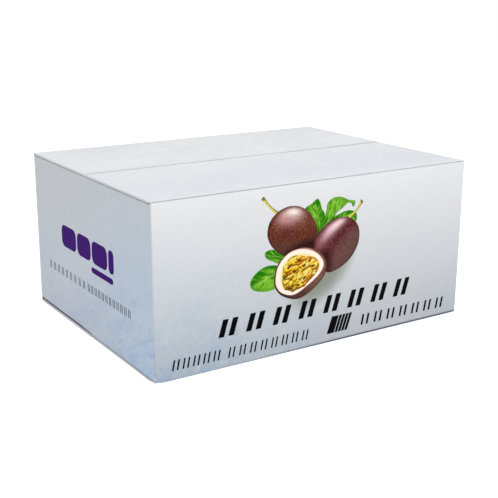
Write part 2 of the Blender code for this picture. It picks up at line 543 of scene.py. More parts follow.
def wallMaterial():
    material, tree, shader = newMaterial("printedWallBoard")
    spot = splitVector(tree, objectCoords(tree))
    up = maths(tree, "DIVIDE", spot[2], height, clamp=True)
    down = maths(tree, "SUBTRACT", 1.0, up)
    onLong = maths(tree, "GREATER_THAN", maths(tree, "ABSOLUTE", spot[1]), halfY - carton["faceMargin"])
    onEnd = maths(tree, "SUBTRACT", 1.0, onLong)
    # The frost gathers low down, round two opposite corners of the box
    corner = maths(tree, "ABSOLUTE", maths(tree, "ADD", spot[0], spot[1]))
    gather = remap(tree, corner, *wallPrint["gather"])
    cold = maths(tree, "MULTIPLY", maths(tree, "POWER", down, wallPrint["frostFall"]), gather)
    toCorner = remap(tree, corner, *wallPrint["endGather"])
    endCold = maths(tree, "MULTIPLY", remap(tree, down, *wallPrint["endFall"]), toCorner)
    cold = mixValue(tree, onEnd, maths(tree, "MULTIPLY", cold, wallPrint["longFrost"]), endCold)
    # Long walls fade from white to grey, short walls stay pale
    lowTone = mixColour(tree, gather, wallPrint["low"], wallPrint["lowBlue"])
    longTone = mixColour(tree, maths(tree, "POWER", up, wallPrint["fade"]), lowTone, wallPrint["top"])
    endTone = mixColour(tree, up, wallPrint["endLow"], wallPrint["endTop"])
    chill = remap(tree, corner, *wallPrint["chillGather"])
    chill = maths(tree, "MULTIPLY", chill, remap(tree, down, *wallPrint["chillFall"]))
    endTone = mixColour(tree, chill, endTone, multiplied(tree, endTone, wallPrint["endChill"]))
    tone = mixColour(tree, onLong, endTone, longTone)
    iced = useGroup(tree, frostPrint)
    cloudy = maths(tree, "MULTIPLY_ADD", cold, *wallPrint["cloudShare"])
    clouds = maths(tree, "MULTIPLY", iced["Clouds"], cloudy, clamp=True)
    tone = mixColour(tree, clouds, tone, multiplied(tree, tone, wallPrint["cold"]))
    cracked = maths(tree, "MULTIPLY_ADD", cold, *wallPrint["crackShare"])
    tone = tinted(tree, tone, iced["Cracks"], cracked, wallPrint["crack"])
    veined = maths(tree, "MULTIPLY_ADD", cold, *wallPrint["veinShare"])
    tone = tinted(tree, tone, iced["Veins"], veined, wallPrint["frost"])
    # A soft printed shadow under the picture on each long wall
    facing = maths(tree, "MULTIPLY", maths(tree, "SIGN", spot[1]), -1.0)
    across = maths(tree, "MULTIPLY_ADD", spot[0], facing, -wallPrint["shadeSpot"][0])
    above = maths(tree, "SUBTRACT", spot[2], wallPrint["shadeSpot"][1])
    along, side = turnedPlace(tree, across, above, wallPrint["shadeLean"])
    offs = [maths(tree, "DIVIDE", off, reach) for off, reach in zip((along, side), wallPrint["shadeReach"])]
    far = maths(tree, "ADD", *[maths(tree, "MULTIPLY", off, off) for off in offs])
    shadow = maths(tree, "MULTIPLY", remap(tree, far, 1.3, 0.0), onLong)
    tone = mixColour(tree, shadow, tone, multiplied(tree, tone, wallPrint["shade"]))
    # Painted shade along the folds, in the creases, beside the outer flaps and where the box stands
    foldShade = addNode(tree, "ShaderNodeAttribute", attribute_name="foldShade").outputs["Fac"]
    tone = mixColour(tree, foldShade, tone, wallPrint["paintedFoldShade"])
    ribs, coat = boardRelief(tree, shader)
    worn = useGroup(tree, foldWear, {"Reach": wallPrint["wornReach"]})["Mask"]
    rubbed = useGroup(tree, handling)
    bared = maths(tree, "MULTIPLY_ADD", foldShade, -wallPrint["wornShare"], wallPrint["wornShare"])
    tone = tinted(tree, tone, worn, bared, wallPrint["coreShows"])
    tone = tinted(tree, tone, rubbed["Rubs"], wallPrint["rubShare"], wallPrint["rub"])
    dull = ((rubbed["Smears"], wallPrint["dull"]["smears"]), (worn, wallPrint["dull"]["worn"]))
    finishBoard(tree, shader, tone, ribs, coat, dull)
    return material


flapPrint = {
    "rear": printColour(248, 249, 250),
    "front": printColour(236, 239, 242),
    "clouds": printColour(218, 226, 234),
    "veins": printColour(248, 249, 250),
    "fade": (0.03, -0.12),  # from the rear tone to the front one
    "frostSize": 1.4,
    "frostShare": 0.2,
    # painted shade beside the gap at the seam
    "seamShade": printColour(150, 153, 158),
    "seamShadeReach": (0.0026, 0.0004),  # from the cut at the seam
    "seamShadeShare": 0.7,
    # painted shade on the flaps next to the floor
    "shadeBelow": (0.0024, 0.0012),  # above the floor
    "shadeShare": (0.1, 0.85),  # at the left and at the right, seen from the front
    "worn": printColour(214, 214, 212),
    "wornReach": 0.0016,
    "wornShare": 0.4,
    "rub": printColour(216, 218, 220),
    "rubShare": 0.16,
    "smearsDull": 0.1,
}


def flapMaterial():
    material, tree, shader = newMaterial("printedFlapBoard")
    spot = splitVector(tree, objectCoords(tree))
    iced = useGroup(tree, frostPrint, {"Size": flapPrint["frostSize"]})
    tone = mixColour(tree, remap(tree, spot[1], *flapPrint["fade"]), flapPrint["rear"], flapPrint["front"])
    tone = tinted(tree, tone, iced["Clouds"], flapPrint["frostShare"], flapPrint["clouds"])
    tone = tinted(tree, tone, iced["Veins"], flapPrint["frostShare"], flapPrint["veins"])
    # Painted shade under the box, where the flaps meet the floor, more so to the right on the front
    rightwards = maths(tree, "MULTIPLY", spot[0], maths(tree, "SIGN", spot[1]))
    dark = remap(tree, rightwards, halfX, -halfX, *flapPrint["shadeShare"])
    tone = tinted(tree, tone, remap(tree, spot[2], *flapPrint["shadeBelow"]), dark, wallPrint["paintedFoldShade"])
    # Painted shade along the cut at the seam, where the gap between the two flaps falls dark
    fromSeam = maths(tree, "ABSOLUTE", spot[1])
    seamShade = remap(tree, fromSeam, *[seam / 2 + reach for reach in flapPrint["seamShadeReach"]])
    tone = tinted(tree, tone, seamShade, flapPrint["seamShadeShare"], flapPrint["seamShade"])
    ribs, coat = boardRelief(tree, shader)
    worn = useGroup(tree, foldWear, {"Reach": flapPrint["wornReach"]})["Mask"]
    rubbed = useGroup(tree, handling)
    tone = tinted(tree, tone, worn, flapPrint["wornShare"], flapPrint["worn"])
    tone = tinted(tree, tone, rubbed["Rubs"], flapPrint["rubShare"], flapPrint["rub"])
    finishBoard(tree, shader, tone, ribs, coat, ((rubbed["Smears"], flapPrint["smearsDull"]),))
    return material


# Uncoated paper: the core, the inner sheet and every cut edge
bare = {
    "low": printColour(236, 237, 238),
    "high": printColour(248, 248, 249),
    "clouds": printColour(232, 233, 233),
    # painted shade on the cut edges next to the floor
    "floorShade": printColour(92, 100, 112),
    "fibreScale": 1400.0,
    "cloudScale": 160.0,
    "cloudShare": 0.3,
    "floorShadeBelow": (0.0013, 0.0004),  # above the floor
    "floorShadeFrom": (-0.12, 0.05, 0.05, 0.75),  # from the front backwards, and how much
    "relief": 0.00006,
    "specular": 0.25,
}


def bareBoardMaterial():
    material, tree, shader = newMaterial("bareBoard")
    coords = objectCoords(tree)
    fibres = noiseField(tree, coords, bare["fibreScale"], 5.0, 0.75, 0.5)
    clouds = noiseField(tree, coords, bare["cloudScale"], 3.0)
    tone = mixColour(tree, remap(tree, fibres, 0.35, 0.7), bare["low"], bare["high"])
    tone = tinted(tree, tone, clouds, bare["cloudShare"], bare["clouds"])
    # Painted shade where the box stands on the floor, mostly at the back
    spot = splitVector(tree, coords)
    standing = remap(tree, spot[2], *bare["floorShadeBelow"])
    behind = remap(tree, spot[1], *bare["floorShadeFrom"])
    tone = tinted(tree, tone, standing, behind, bare["floorShade"])
    bump = addNode(tree, "ShaderNodeBump", {"Height": fibres, "Distance": bare["relief"], "Strength": 0.8})
    rough = remap(tree, fibres, 0.3, 0.7, 0.8, 0.95)
    feed(tree, shader, {"Base Color": tone, "Roughness": rough, "Normal": bump.outputs[0]})
    feed(tree, shader, {"Specular IOR Level": bare["specular"]})
    return material


wallBoard = wallMaterial()
flapBoard = flapMaterial()
bareBoard = bareBoardMaterial()
print("board materials made")


# Mesh helpers
def finishMesh(name, mesh, materials, shiny=True, sharp=35):
    bmesh.ops.remove_doubles(mesh, verts=mesh.verts, dist=1e-7)
    bmesh.ops.recalc_face_normals(mesh, faces=mesh.faces)
    data = bpy.data.meshes.new(name)
    mesh.to_mesh(data)
    mesh.free()
    if shiny:
        data.shade_smooth()
        data.set_sharp_from_angle(angle=math.radians(sharp))
    for material in materials:
        data.materials.append(material)
    made = bpy.data.objects.new(name, data)
    bpy.context.scene.collection.objects.link(made)
    return made


def addGrid(mesh, rows, closed=False, material=0):
    # Quads between rows of points; a closed grid also joins each row's last point to its first
    made = [[mesh.verts.new(point) for point in row] for row in rows]
    for lower, upper in zip(made, made[1:]):
        count = len(lower)
        for i in range(count if closed else count - 1):
            face = mesh.faces.new((lower[i], lower[(i + 1) % count], upper[(i + 1) % count], upper[i]))
            face.material_index = material
    return made


# Walls: one folded sheet, drawn as columns of points round the box
walls = {
    "nearFold": (0.0018, 0.0023, 0.0029, 0.0034, 0.0044, 0.0052, 0.0064, 0.0085, 0.012),
    "columnStep": 0.008,
    "cornerSteps": 7,
    "rimInsets": (0.03, 0.12, 0.27, 0.42, 0.53, 0.8, 1.2, 1.7, 2.2, 2.9, 3.65, 12.0),  # mm
    "rowStep": 0.007,
    "rowsNearFold": (0.0008, 0.0016, 0.0026, 0.0038, 0.0050, 0.0064, 0.009),
    "rowsFrom": 0.01,  # where the even rows begin, from base and top
    "liftRear": 0.0019,  # how far the folded end stands off the lower flaps, behind and in front
    "liftFront": 0.0003,
    # The glued corner: the bend of the wall that folds in, and depths of groove, cut and core
    "joint": {
        "radius": 0.0015,
        "turn": 72,
        "steps": 5,
        "clear": 0.0002,
        "shy": 0.00005,  # the cut edge stands this much short of the board's thickness
        "groove": 0.0011,
        "cut": 0.00015,
        "core": 0.0008,
        "reach": 0.0052,  # from the corner, where the glued wall's even columns stop
    },
}


def wallColumns():
    radius = carton["foldRadius"]
    columns = []  # point in plan, way out, and the wall's name and place for its swell
    names = list(wallFrames)
    for turn, name in enumerate(names):
        middle, right, out, half = wallFrames[name]
        nextOut = wallFrames[names[(turn + 1) % 4]][2]
        near = sorted(set(walls["nearFold"]) | {floorDepth - 0.00001, floorDepth + 0.00001})
        span = half - near[-1]
        steps = max(2, round(2 * span / walls["columnStep"]))
        inner = [-span + 2 * span * i / steps for i in range(1, steps)]
        places = [-half + n for n in near] + inner + [half - n for n in reversed(near)]
        glued = name == "right"  # the sheet's ends meet at this wall's far edge
        if glued:
            places = [a for a in places if a < half - walls["joint"]["reach"]]
        for a in places:
            columns.append((middle + right * a, out, name, a))
        if glued:
            columns += jointColumns(middle, right, out, nextOut, half)
            continue
        centre = middle + right * (half - radius) - out * radius
        for i in range(1, walls["cornerSteps"]):
            angle = math.radians(90) * i / walls["cornerSteps"]
            way = out * math.cos(angle) + nextOut * math.sin(angle)
            columns.append((centre + way * radius, way, None, 0.0))
    return columns


def jointColumns(middle, right, out, nextOut, half):
    # One wall folds in behind the other, whose cut edge shows beside the corner
    joint = walls["joint"]
    liner = carton["liner"]
    face = board - joint["shy"]
    profile = []  # distance from the corner and depth
    for i in range(joint["steps"] + 1):
        angle = math.radians(joint["turn"]) * i / joint["steps"]
        q = board + joint["clear"] + joint["radius"] * (1 - math.sin(angle))
        profile.append((q, joint["radius"] * (1 - math.cos(angle))))
    profile += [(face, joint["groove"]), (face, joint["cut"])]
    profile += [(board - liner, joint["cut"]), (board - liner, joint["core"])]
    profile += [(liner, joint["core"]), (liner, joint["cut"]), (joint["clear"], joint["cut"])]
    columns = [(middle + right * (half - q) - out * sink, out, None, 0.0) for q, sink in profile]
    last = middle + right * (half - joint["cut"] - joint["clear"]) - out * joint["cut"] * 2
    return columns + [(last, nextOut, None, 0.0)]


def roundedDrop(radius, inwards):
    # How far a rounded fold has dropped, so far in from its side
    if inwards >= radius:
        return 0.0
    return radius - math.sqrt(max(0.0, radius**2 - (radius - inwards) ** 2))


def rimLevel(point):
    # How deep the walls' upper edge lies below the outer flaps' face, at a point in plan
    q = halfY - abs(point.y)
    if q < floorDepth:
        return max(roundedDrop(carton["foldRadius"], q), q + carton["crease"])
    return floorDepth + roundedDrop(carton["endFoldRadius"], halfX - abs(point.x))


def endLift(point):
    # The folded ends stand off the lower flaps here and there
    atEnd = smooth(abs(point.x), halfX - 0.05, halfX - 0.01)
    rear = smooth(point.y, -0.02, 0.03)
    rear = rear if point.x < 0 else 1 - rear
    inside = 1.0 if halfY - abs(point.y) > floorDepth else 0.0
    return inside * atEnd * (walls["liftFront"] + (walls["liftRear"] - walls["liftFront"]) * rear)


# The painted shade along a fold, in its crease, beside an outer flap or where the box stands: how dark it is,
# how much it changes along the wall, and where it starts and stops to thin out, from the flap or from the
# face
paintedFoldShade = {
    "endTop": (0.5, 0.0, 0.0002, 0.0010),
    "endLow": (0.4, 0.5, 0.0006, 0.0015),
    "longTop": (0.5, -0.12, 0.0009, 0.0018),
    "longLow": (0.02, 0.98, 0.0021, 0.0032),
}


def foldShadeAt(point, name, a, isTop):
    # How dark the painted shade along a wall's fold is: beside the flaps, and where the box stands
    onEnd = name in ("left", "right")
    dark, change, start, stop = paintedFoldShade[("end" if onEnd else "long") + ("Top" if isTop else "Low")]
    away = height - point.z if isTop else point.z
    if onEnd:
        away = away - board - (0 if isTop else endLift(point))
        changed = smooth(-a, -0.03, 0.03)
    else:
        rightwards = smooth(a, -halfX, halfX)
        changed = rightwards if isTop else smooth(rightwards, 0.0, 0.7)
    return (dark + change * changed) * (1 - smooth(away, start, stop))


def makeWalls():
    mesh = bmesh.new()
    foldShade = mesh.verts.layers.float.new("foldShade")
    columns = wallColumns()
    ringsBelow = []
    ringsAbove = []
    for inset in reversed([0.0] + [i / 1000 for i in walls["rimInsets"]]):
        below = []
        above = []
        for start, out, name, a in columns:
            spot = start - out * inset
            spot.x = max(-halfX + inset, min(halfX - inset, spot.x)) if inset else spot.x
            spot.y = max(-halfY + inset, min(halfY - inset, spot.y)) if inset else spot.y
            level = rimLevel(spot)
            below.append(spot + Vector((0, 0, level + endLift(spot))))
            above.append(spot + Vector((0, 0, height - level)))
        ringsBelow.append(below)
        ringsAbove.append(above)
    ringsAbove.reverse()
    # Rows up the outside, close together next to the folds
    near = walls["rowsNearFold"]
    span = height - 2 * walls["rowsFrom"]
    steps = round(span / walls["rowStep"])
    inner = [walls["rowsFrom"] + span * i / steps for i in range(steps + 1)]
    shares = [n / height for n in (*near, *inner)] + [1 - n / height for n in reversed(near)]
    skin = []
    for share in shares:
        row = []
        for (start, out, name, a), low, high in zip(columns, ringsBelow[-1], ringsAbove[0]):
            point = low.lerp(high, share)
            if name:
                point += out * swell(a, point.z, wallFrames[name][3])
            row.append(point)
        skin.append(row)
    rings = [[pushIn(p) for p in ring] for ring in (*ringsBelow, *skin, *ringsAbove)]
    made = addGrid(mesh, rings, closed=True)
    middleRing = len(made) // 2
    for level, ring in enumerate(made):
        isTop = level > middleRing
        for vertex, (start, out, name, a) in zip(ring, columns):
            # How dark the painted fold shade is at this point
            vertex[foldShade] = foldShadeAt(vertex.co, name, a, isTop)
    for ring, flip in ((made[0], True), (made[-1], False)):
        mesh.faces.new(list(reversed(ring)) if flip else ring)
    bmesh.ops.dissolve_degenerate(mesh, dist=1e-7, edges=mesh.edges)
    return finishMesh("carton_walls", mesh, [wallBoard])


cartonWalls = makeWalls()
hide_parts("carton_body")
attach(cartonWalls, "root")
print("walls made")


# Flaps: face sheet, fluted core and inner sheet, drawn for one flap and set in four places
flaps = {
    "endGap": 0.0002,  # the cut ends lie this far inside the short walls' folds
    "columnStep": 0.008,
    "reachStep": 0.010,
    "foldSteps": 6,
    "nearEnd": (0.0, 0.00035, 0.0007, 0.0014, 0.003, 0.006),
    "coreStart": 0.0042,  # core and crushed flutes begin this far in from the fold
    "coreSteps": 6,
    "perFlute": 14,
    "coreSheet": 0.00024,
    "coreBack": 0.00008,  # the core's cut edge behind the sheets'
    "fillBack": 0.0002,  # crushed flutes close the spaces this far in
    "crushed": 0.0005,  # the face sheet bends down this far at its cut end
    "crushedReach": 0.0014,
    "sag": 0.00035,  # at the free edge
    "ragged": 0.0003,
    "cornerWorn": 0.0013,
    "cornerReach": 0.006,
    "trimmed": 0.0001,  # the inner sheet is cut back a little more along the fold
}


def flapDip(x, q, phase):
    # A flap isn't quite flat: its free edge gives a little between the folded ends under it
    out = smooth(q, 0.01, halfY)
    return -flaps["sag"] * out * (0.55 + 0.45 * math.sin(x * 13 + phase))


def freeEdge(x, phase):
    wave = 0.6 * math.sin(x * 9 + phase) + 0.4 * math.sin(x * 31 + 2 * phase)
    worn = flaps["cornerWorn"] * smooth(abs(x), halfX - flaps["cornerReach"], halfX)
    return halfY - seam / 2 - flaps["ragged"] * (1 + wave) - worn


def flapPlace(point, isTop, isFront):
    # From along, in from the fold and up from the face, to the row frame
    x, q, up = point
    side = -1 if isFront else 1
    placed = Vector((-side * x, side * (halfY - q), height + up if isTop else -up))
    return placed if isTop else pushIn(placed)


def addSheet(mesh, outer, inner, faceMaterial, place):
    top = addGrid(mesh, [[place(p) for p in row] for row in outer], material=faceMaterial)
    low = addGrid(mesh, [[place(p) for p in row] for row in inner], material=1)

    def border(grid):
        sides = [*grid[0], *[row[-1] for row in grid[1:]]]
        return sides + [*reversed(grid[-1][:-1]), *[row[0] for row in reversed(grid[1:-1])]]

    rimTop, rimLow = border(top), border(low)
    count = len(rimTop)
    for i in range(count):
        following = (i + 1) % count
        face = mesh.faces.new((rimTop[i], rimLow[i], rimLow[following], rimTop[following]))
        face.material_index = 1


def makeFlap(name, isTop, isFront, phase):
    mesh = bmesh.new()
    radius = carton["foldRadius"]
    liner = carton["liner"]
    half = halfX - flaps["endGap"]

    def place(point):
        return flapPlace(point, isTop, isFront)

    near = flaps["nearEnd"]
    steps = round(2 * (half - near[-1]) / flaps["columnStep"])
    even = [-half + near[-1] + 2 * (half - near[-1]) * i / steps for i in range(1, steps)]
    along = [-half + n for n in near] + even + [half - n for n in reversed(near)]
    reachSteps = round(halfY / flaps["reachStep"])
    openAngle = math.radians(45) + carton["crease"] / radius

    def face(x, sink):
        # The face sheet round the fold and out to the free edge, at one depth
        points = []
        for i in range(flaps["foldSteps"] + 1):
            angle = openAngle + (math.radians(90) - openAngle) * i / flaps["foldSteps"]
            q = radius - (radius - sink) * math.cos(angle)
            points.append((x, q, -radius + (radius - sink) * math.sin(angle)))
        end = freeEdge(x, phase)
        for i in range(1, reachSteps + 1):
            q = radius + (end - radius) * i / reachSteps
            points.append((x, q, -sink))
        bend = -flaps["crushed"] * smooth(abs(x), half - flaps["crushedReach"], half)
        return [(a, b, c + bend + flapDip(x, b, phase)) for a, b, c in points]

    def back(x, sink):
        # The inner sheet, flat, with its edge cut back along the fold
        start = sink + carton["crease"] + flaps["trimmed"]
        end = freeEdge(x, phase)
        places = [start + (end - start) * i / reachSteps for i in range(reachSteps + 1)]
        return [(x, q, -sink + flapDip(x, q, phase)) for q in places]

    def inner(x, up, cutBack):
        # A row of points at one level between the sheets
        start, steps = flaps["coreStart"], flaps["coreSteps"]
        end = freeEdge(x, phase) - cutBack
        places = [start + (end - start) * i / steps for i in range(steps + 1)]
        return [(x, q, up + flapDip(x, q, phase)) for q in places]

    def core(x, side):
        # The wavy core, with flutes a little squarer than a sine
        swing = (board - 2 * liner - flaps["coreSheet"]) / 2
        turn = 2 * math.pi * (x + half) / carton["flutePitch"]
        up = -board / 2 + swing * math.tanh(1.6 * math.sin(turn)) / math.tanh(1.6)
        return inner(x, up + side * flaps["coreSheet"] / 2, flaps["coreBack"] * 0.5)

    addSheet(mesh, [face(x, 0.0) for x in along], [face(x, liner) for x in along], 0, place)
    lowSheet = board - liner
    addSheet(mesh, [back(x, lowSheet) for x in along], [back(x, board) for x in along], 1, place)
    coreHalf = half - flaps["coreBack"]
    coreSteps = round(2 * coreHalf / carton["flutePitch"] * flaps["perFlute"])
    coreAlong = [-coreHalf + 2 * coreHalf * i / coreSteps for i in range(coreSteps + 1)]
    addSheet(mesh, [core(x, 1) for x in coreAlong], [core(x, -1) for x in coreAlong], 1, place)

    # Behind its cut end the core's crushed flutes close the space between the sheets
    fillBack = flaps["fillBack"]
    inside = half - fillBack
    filled = [-inside, *along[5:-5], inside]
    thin = liner + 0.00002
    upper = [inner(x, -thin, fillBack) for x in filled]
    addSheet(mesh, upper, [inner(x, thin - board, fillBack) for x in filled], 1, place)
    flap = finishMesh(name + "_board", mesh, [flapBoard, bareBoard])
    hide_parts(name)
    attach(flap, "root")
    return flap


for phase, (place, isTop) in enumerate((("top", True), ("bottom", False))):
    makeFlap(f"{place}_flap_front", isTop, True, 0.4 + 2.1 * phase)
    makeFlap(f"{place}_flap_back", isTop, False, 1.9 + 1.3 * phase)
print("flaps made")


# Print: flat shapes of ink laid on the walls, each a hair above the one under it
ink = {
    "lift": 0.00003,  # above the wall
    "step": 0.000015,  # from one layer to the next
    "sink": 0.0003,  # the shapes' backs lie this deep in the wall
}
# The layer that each part of the picture lies on
layerOf = {
    "leaf": 0.6,
    "stem": 4.0,
    "round": 4.6,
    "oval": 5.4,
    "rind": 6.2,
    "pith": 7.0,
    "pulp": 7.5,
    "sac": 8.0,
    "sacStep": 0.13,
    "seed": 9.8,
    "seedStep": 0.3,
}


def mm(*values):
    return tuple(value / 1000 for value in values)


def turned(across, up, angle):
    cos, sin = math.cos(angle), math.sin(angle)
    return across * cos - up * sin, across * sin + up * cos


def wallPoint(wall, across, up, lift):
    middle, right, out, half = wallFrames[wall]
    return middle + right * across + Vector((0, 0, up)) + out * (swell(across, up, half) + lift)


def flatMark(across, up, share):
    return Vector((0, 0, 1)), Vector((share, 0, 0))


def addShape(mesh, wall, centre, outline, layer=0, shares=(1.0,), material=0, mark=flatMark):
    # One shape drawn as rings of points round its centre, in metres from the wall's middle and base
    form = mesh.verts.layers.float_vector.get("form") or mesh.verts.layers.float_vector.new("form")
    spot = mesh.verts.layers.float_vector.get("spot") or mesh.verts.layers.float_vector.new("spot")
    lift = ink["lift"] + ink["step"] * layer

    def point(across, up, share, height):
        made = mesh.verts.new(wallPoint(wall, across, up, height))
        made[form], made[spot] = mark(across, up, share)
        return made

    rings = []
    for share in shares:
        ring = []
        for across, up in outline:
            x = centre[0] + (across - centre[0]) * share
            z = centre[1] + (up - centre[1]) * share
            ring.append(point(x, z, share, lift))
        rings.append(ring)
    below = [point(across, up, 1.0, -ink["sink"]) for across, up in outline]
    rings.append(below)
    tip = point(*centre, 0.0, lift)
    base = point(*centre, 0.0, -ink["sink"])
    count = len(outline)
    for i in range(count):
        following = (i + 1) % count
        faces = [mesh.faces.new((tip, rings[0][i], rings[0][following]))]
        for inner, outer in zip(rings, rings[1:]):
            faces.append(mesh.faces.new((inner[i], outer[i], outer[following], inner[following])))
        faces.append(mesh.faces.new((base, below[following], below[i])))
        for face in faces:
            face.material_index = material


def finishPrint(name, mesh, materials):
    piece = finishMesh(name, mesh, materials, sharp=30)
    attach(piece, "root")
    return piece


def eggOutline(centre, radii, tilt, count, pointed):
    points = []
    for i in range(count):
        angle = 2 * math.pi * i / count
        along = radii[0] * math.cos(angle)
        across = radii[1] * math.sin(angle) * (1 - pointed * math.cos(angle))
        x, z = turned(along, across, math.radians(tilt))
        points.append((centre[0] + x, centre[1] + z))
    return points


def softOutline(points, steps=8):
    # A closed smooth curve through a few points
    curve = []
    count = len(points)
    for i in range(count):
        before, start, end, after = (Vector(points[(i + k) % count]) for k in (-1, 0, 1, 2))
        for step in range(steps):
            t = step / steps
            square = 2 * before - 5 * start + 4 * end - after
            cube = 3 * start - before - 3 * end + after
            bend = square * t**2 + cube * t**3
            curve.append(tuple(start + ((end - before) * t + bend) / 2))
    return curve


def ballMark(centre, radii, tilt, stretch, third=None):
    # The outward direction of an egg of that outline, for the painted shading
    angle = math.radians(tilt)

    def mark(across, up, share):
        along, side = turned(across - centre[0], up - centre[1], -angle)
        u, v = along / radii[0], side / radii[1]
        w = math.sqrt(max(0.0, 1 - u * u - v * v))
        x, z = turned(u / (radii[0] * stretch), v / radii[1], angle)
        outward = Vector((x, z, w * 2 / (radii[0] + radii[1]))).normalized()
        return outward, Vector((u, v, third(across, up) if third else share))

    return mark


roundShares = [math.sin(math.radians(90) * i / 12) for i in range(1, 13)]  # closer towards the rim


def addDrop(mesh, wall, centre, radii, tilt, layer, material, third):
    # A small rounded thing, a little pointed at one end
    outline = eggOutline(centre, radii, tilt, 14, 0.2)
    mark = ballMark(centre, radii, tilt, 1.0, third)
    addShape(mesh, wall, centre, outline, layer, roundShares[2::3], material, mark)


def blockOutline(centre, width, height, slant, corner):
    # A block with rounded corners that leans to the right
    points = []
    for quarter, (sx, sz) in enumerate(((1, 1), (-1, 1), (-1, -1), (1, -1))):
        for i in range(6):
            angle = math.radians(90) * (quarter + i / 5)
            x = sx * (width / 2 - corner) + corner * math.cos(angle)
            z = sz * (height / 2 - corner) + corner * math.sin(angle)
            points.append((centre[0] + x + slant * z, centre[1] + z))
    return points


# Inks
inkSheen = {"rough": 0.48, "uneven": 0.1, "specular": 0.03}


def layInk(tree, shader, colour, thin):
    laid = useGroup(tree, inkFilm, {"Ink": colour, "Thin": thin})
    boardRelief(tree, shader)
    gloss = maths(tree, "MULTIPLY_ADD", laid["Gloss"], inkSheen["uneven"], inkSheen["rough"])
    feed(tree, shader, {"Base Color": laid["Color"], "Roughness": gloss})
    feed(tree, shader, {"Specular IOR Level": inkSheen["specular"]})


def inkMaterial(name, colour, thin):
    material, tree, shader = newMaterial(name)
    layInk(tree, shader, printColour(*colour), thin)
    return material


# How strongly each part of the skin is laid on; a pair is its change with grain or light and its start
skinShares = {
    "blush": 0.7,
    "bounce": 0.6,
    "flank": 0.6,
    "edge": 0.85,
    "glow": (-0.25, 0.8),  # less where the grain is dusky
    "grain": (0.3, 0.12),  # more on the lit side
    "dusk": 0.38,
    "deep": 0.85,
    "light": (-0.2, 1.0),
}


def skinMaterial(name, look, ways):
    material, tree, shader = newMaterial(name)
    colours = {part: printColour(*colour) for part, colour in look.items()}
    painted = useGroup(tree, paintedForm, ways)
    grained = useGroup(tree, grainedSkin)
    nearCut = splitVector(tree, attributeVector(tree, "spot"))[2]
    shade, dusk = painted["Shade"], grained["Dusk"]
    soft = maths(tree, "MULTIPLY_ADD", dusk, *skinShares["glow"])
    lively = maths(tree, "MULTIPLY_ADD", shade, *skinShares["grain"])
    bright = maths(tree, "MULTIPLY_ADD", dusk, *skinShares["light"])
    skin = mixColour(tree, shade, colours["dark"], colours["mid"])
    for mask, share, part in (
        (grained["Blush"], maths(tree, "MULTIPLY", shade, skinShares["blush"]), "blush"),
        (painted["Bounce"], skinShares["bounce"], "bounce"),
        (painted["Flank"], skinShares["flank"], "flank"),
        (painted["Edge"], skinShares["edge"], "edge"),
        (painted["Glow"], soft, "glow"),
        (grained["Pale"], lively, "grain"),
        (dusk, skinShares["dusk"], "dark"),
        (nearCut, skinShares["deep"], "deep"),
        (painted["Highlight"], bright, "light"),
    ):
        skin = tinted(tree, skin, mask, share, colours[part])
    layInk(tree, shader, skin, thin=0.02)
    return material


leafLook = {
    "base": (30, 128, 0),
    "swayScale": 70.0,
    "sway": 2.4,
    "veins": 6.0,  # side veins from base to tip
    "sweep": 2.0,
    "streakScale": 45.0,
    "streakDrawn": 0.8,
    "patchScale": 1.3,
    "mottleScale": 420.0,
    "shapeRings": 8,
}


def leafMaterial():
    material, tree, shader = newMaterial("leafPrint")
    coords = objectCoords(tree)
    along, across, share = splitVector(tree, attributeVector(tree, "spot"))
    off = maths(tree, "ABSOLUTE", across)
    sway = noiseField(tree, coords, leafLook["swayScale"], 2.0, 0.5)
    sway = maths(tree, "MULTIPLY_ADD", sway, leafLook["sway"], -leafLook["sway"] / 2)
    bent = maths(tree, "ADD", across, sway)
    # Streaks that sweep from the midrib towards the tip, as the side veins do
    reached = maths(tree, "MULTIPLY", along, leafLook["veins"])
    swept = maths(tree, "SUBTRACT", reached, maths(tree, "MULTIPLY", off, leafLook["sweep"]))
    moved = vectorMaths(tree, "MULTIPLY", coords, (leafLook["streakScale"],) * 3)[0]
    drawn = maths(tree, "MULTIPLY", swept, leafLook["streakDrawn"])
    drawn = addNode(tree, "ShaderNodeCombineXYZ", {0: drawn, 1: across}).outputs[0]
    patch = noiseField(tree, vectorMaths(tree, "ADD", moved, drawn)[0], leafLook["patchScale"], 3.0, 0.6, 0.3)
    saw = maths(tree, "PINGPONG", maths(tree, "ADD", swept, sway), 0.5)
    mottle = noiseField(tree, coords, leafLook["mottleScale"], 4.0, 0.6)
    # The light side, streaks, side veins, midrib and edge, each as mask and colour
    green = layered(tree, printColour(*leafLook["base"]), (
        (remap(tree, bent, -0.5, 0.6), (132, 198, 52)),
        (remap(tree, bent, 0.6, 1.5, 0.0, 0.8), (172, 212, 112)),
        (remap(tree, patch, 0.5, 0.62, 0.0, 0.75), (30, 116, 0)),
        (remap(tree, patch, 0.48, 0.38, 0.0, 0.5), (158, 214, 70)),
        (remap(tree, saw, 0.09, 0.0, 0.0, 0.3), (172, 218, 92)),
        (remap(tree, saw, 0.25, 0.5, 0.0, 0.2), (20, 96, 0)),
        (remap(tree, along, 0.24, 0.02, 0.0, 0.7), (34, 86, 0)),
        (remap(tree, off, 0.09, 0.02, 0.0, 0.5), (170, 214, 100)),
        (remap(tree, share, 0.5, 0.9, 0.0, 0.5), (30, 118, 0)),
        (remap(tree, share, 0.94, 1.0, 0.0, 0.5), (112, 196, 60)),
        (remap(tree, mottle, 0.5, 0.75, 0.0, 0.4), (18, 90, 0)),
    ))
    layInk(tree, shader, green, thin=0.0)
    return material


stemShape = {
    "rings": 7.0,  # from foot to tip
    "foot": 1.25,  # widths as shares of the stem's own
    "waist": 0.5,
    "taper": 0.1,
    "pieces": 8,
}


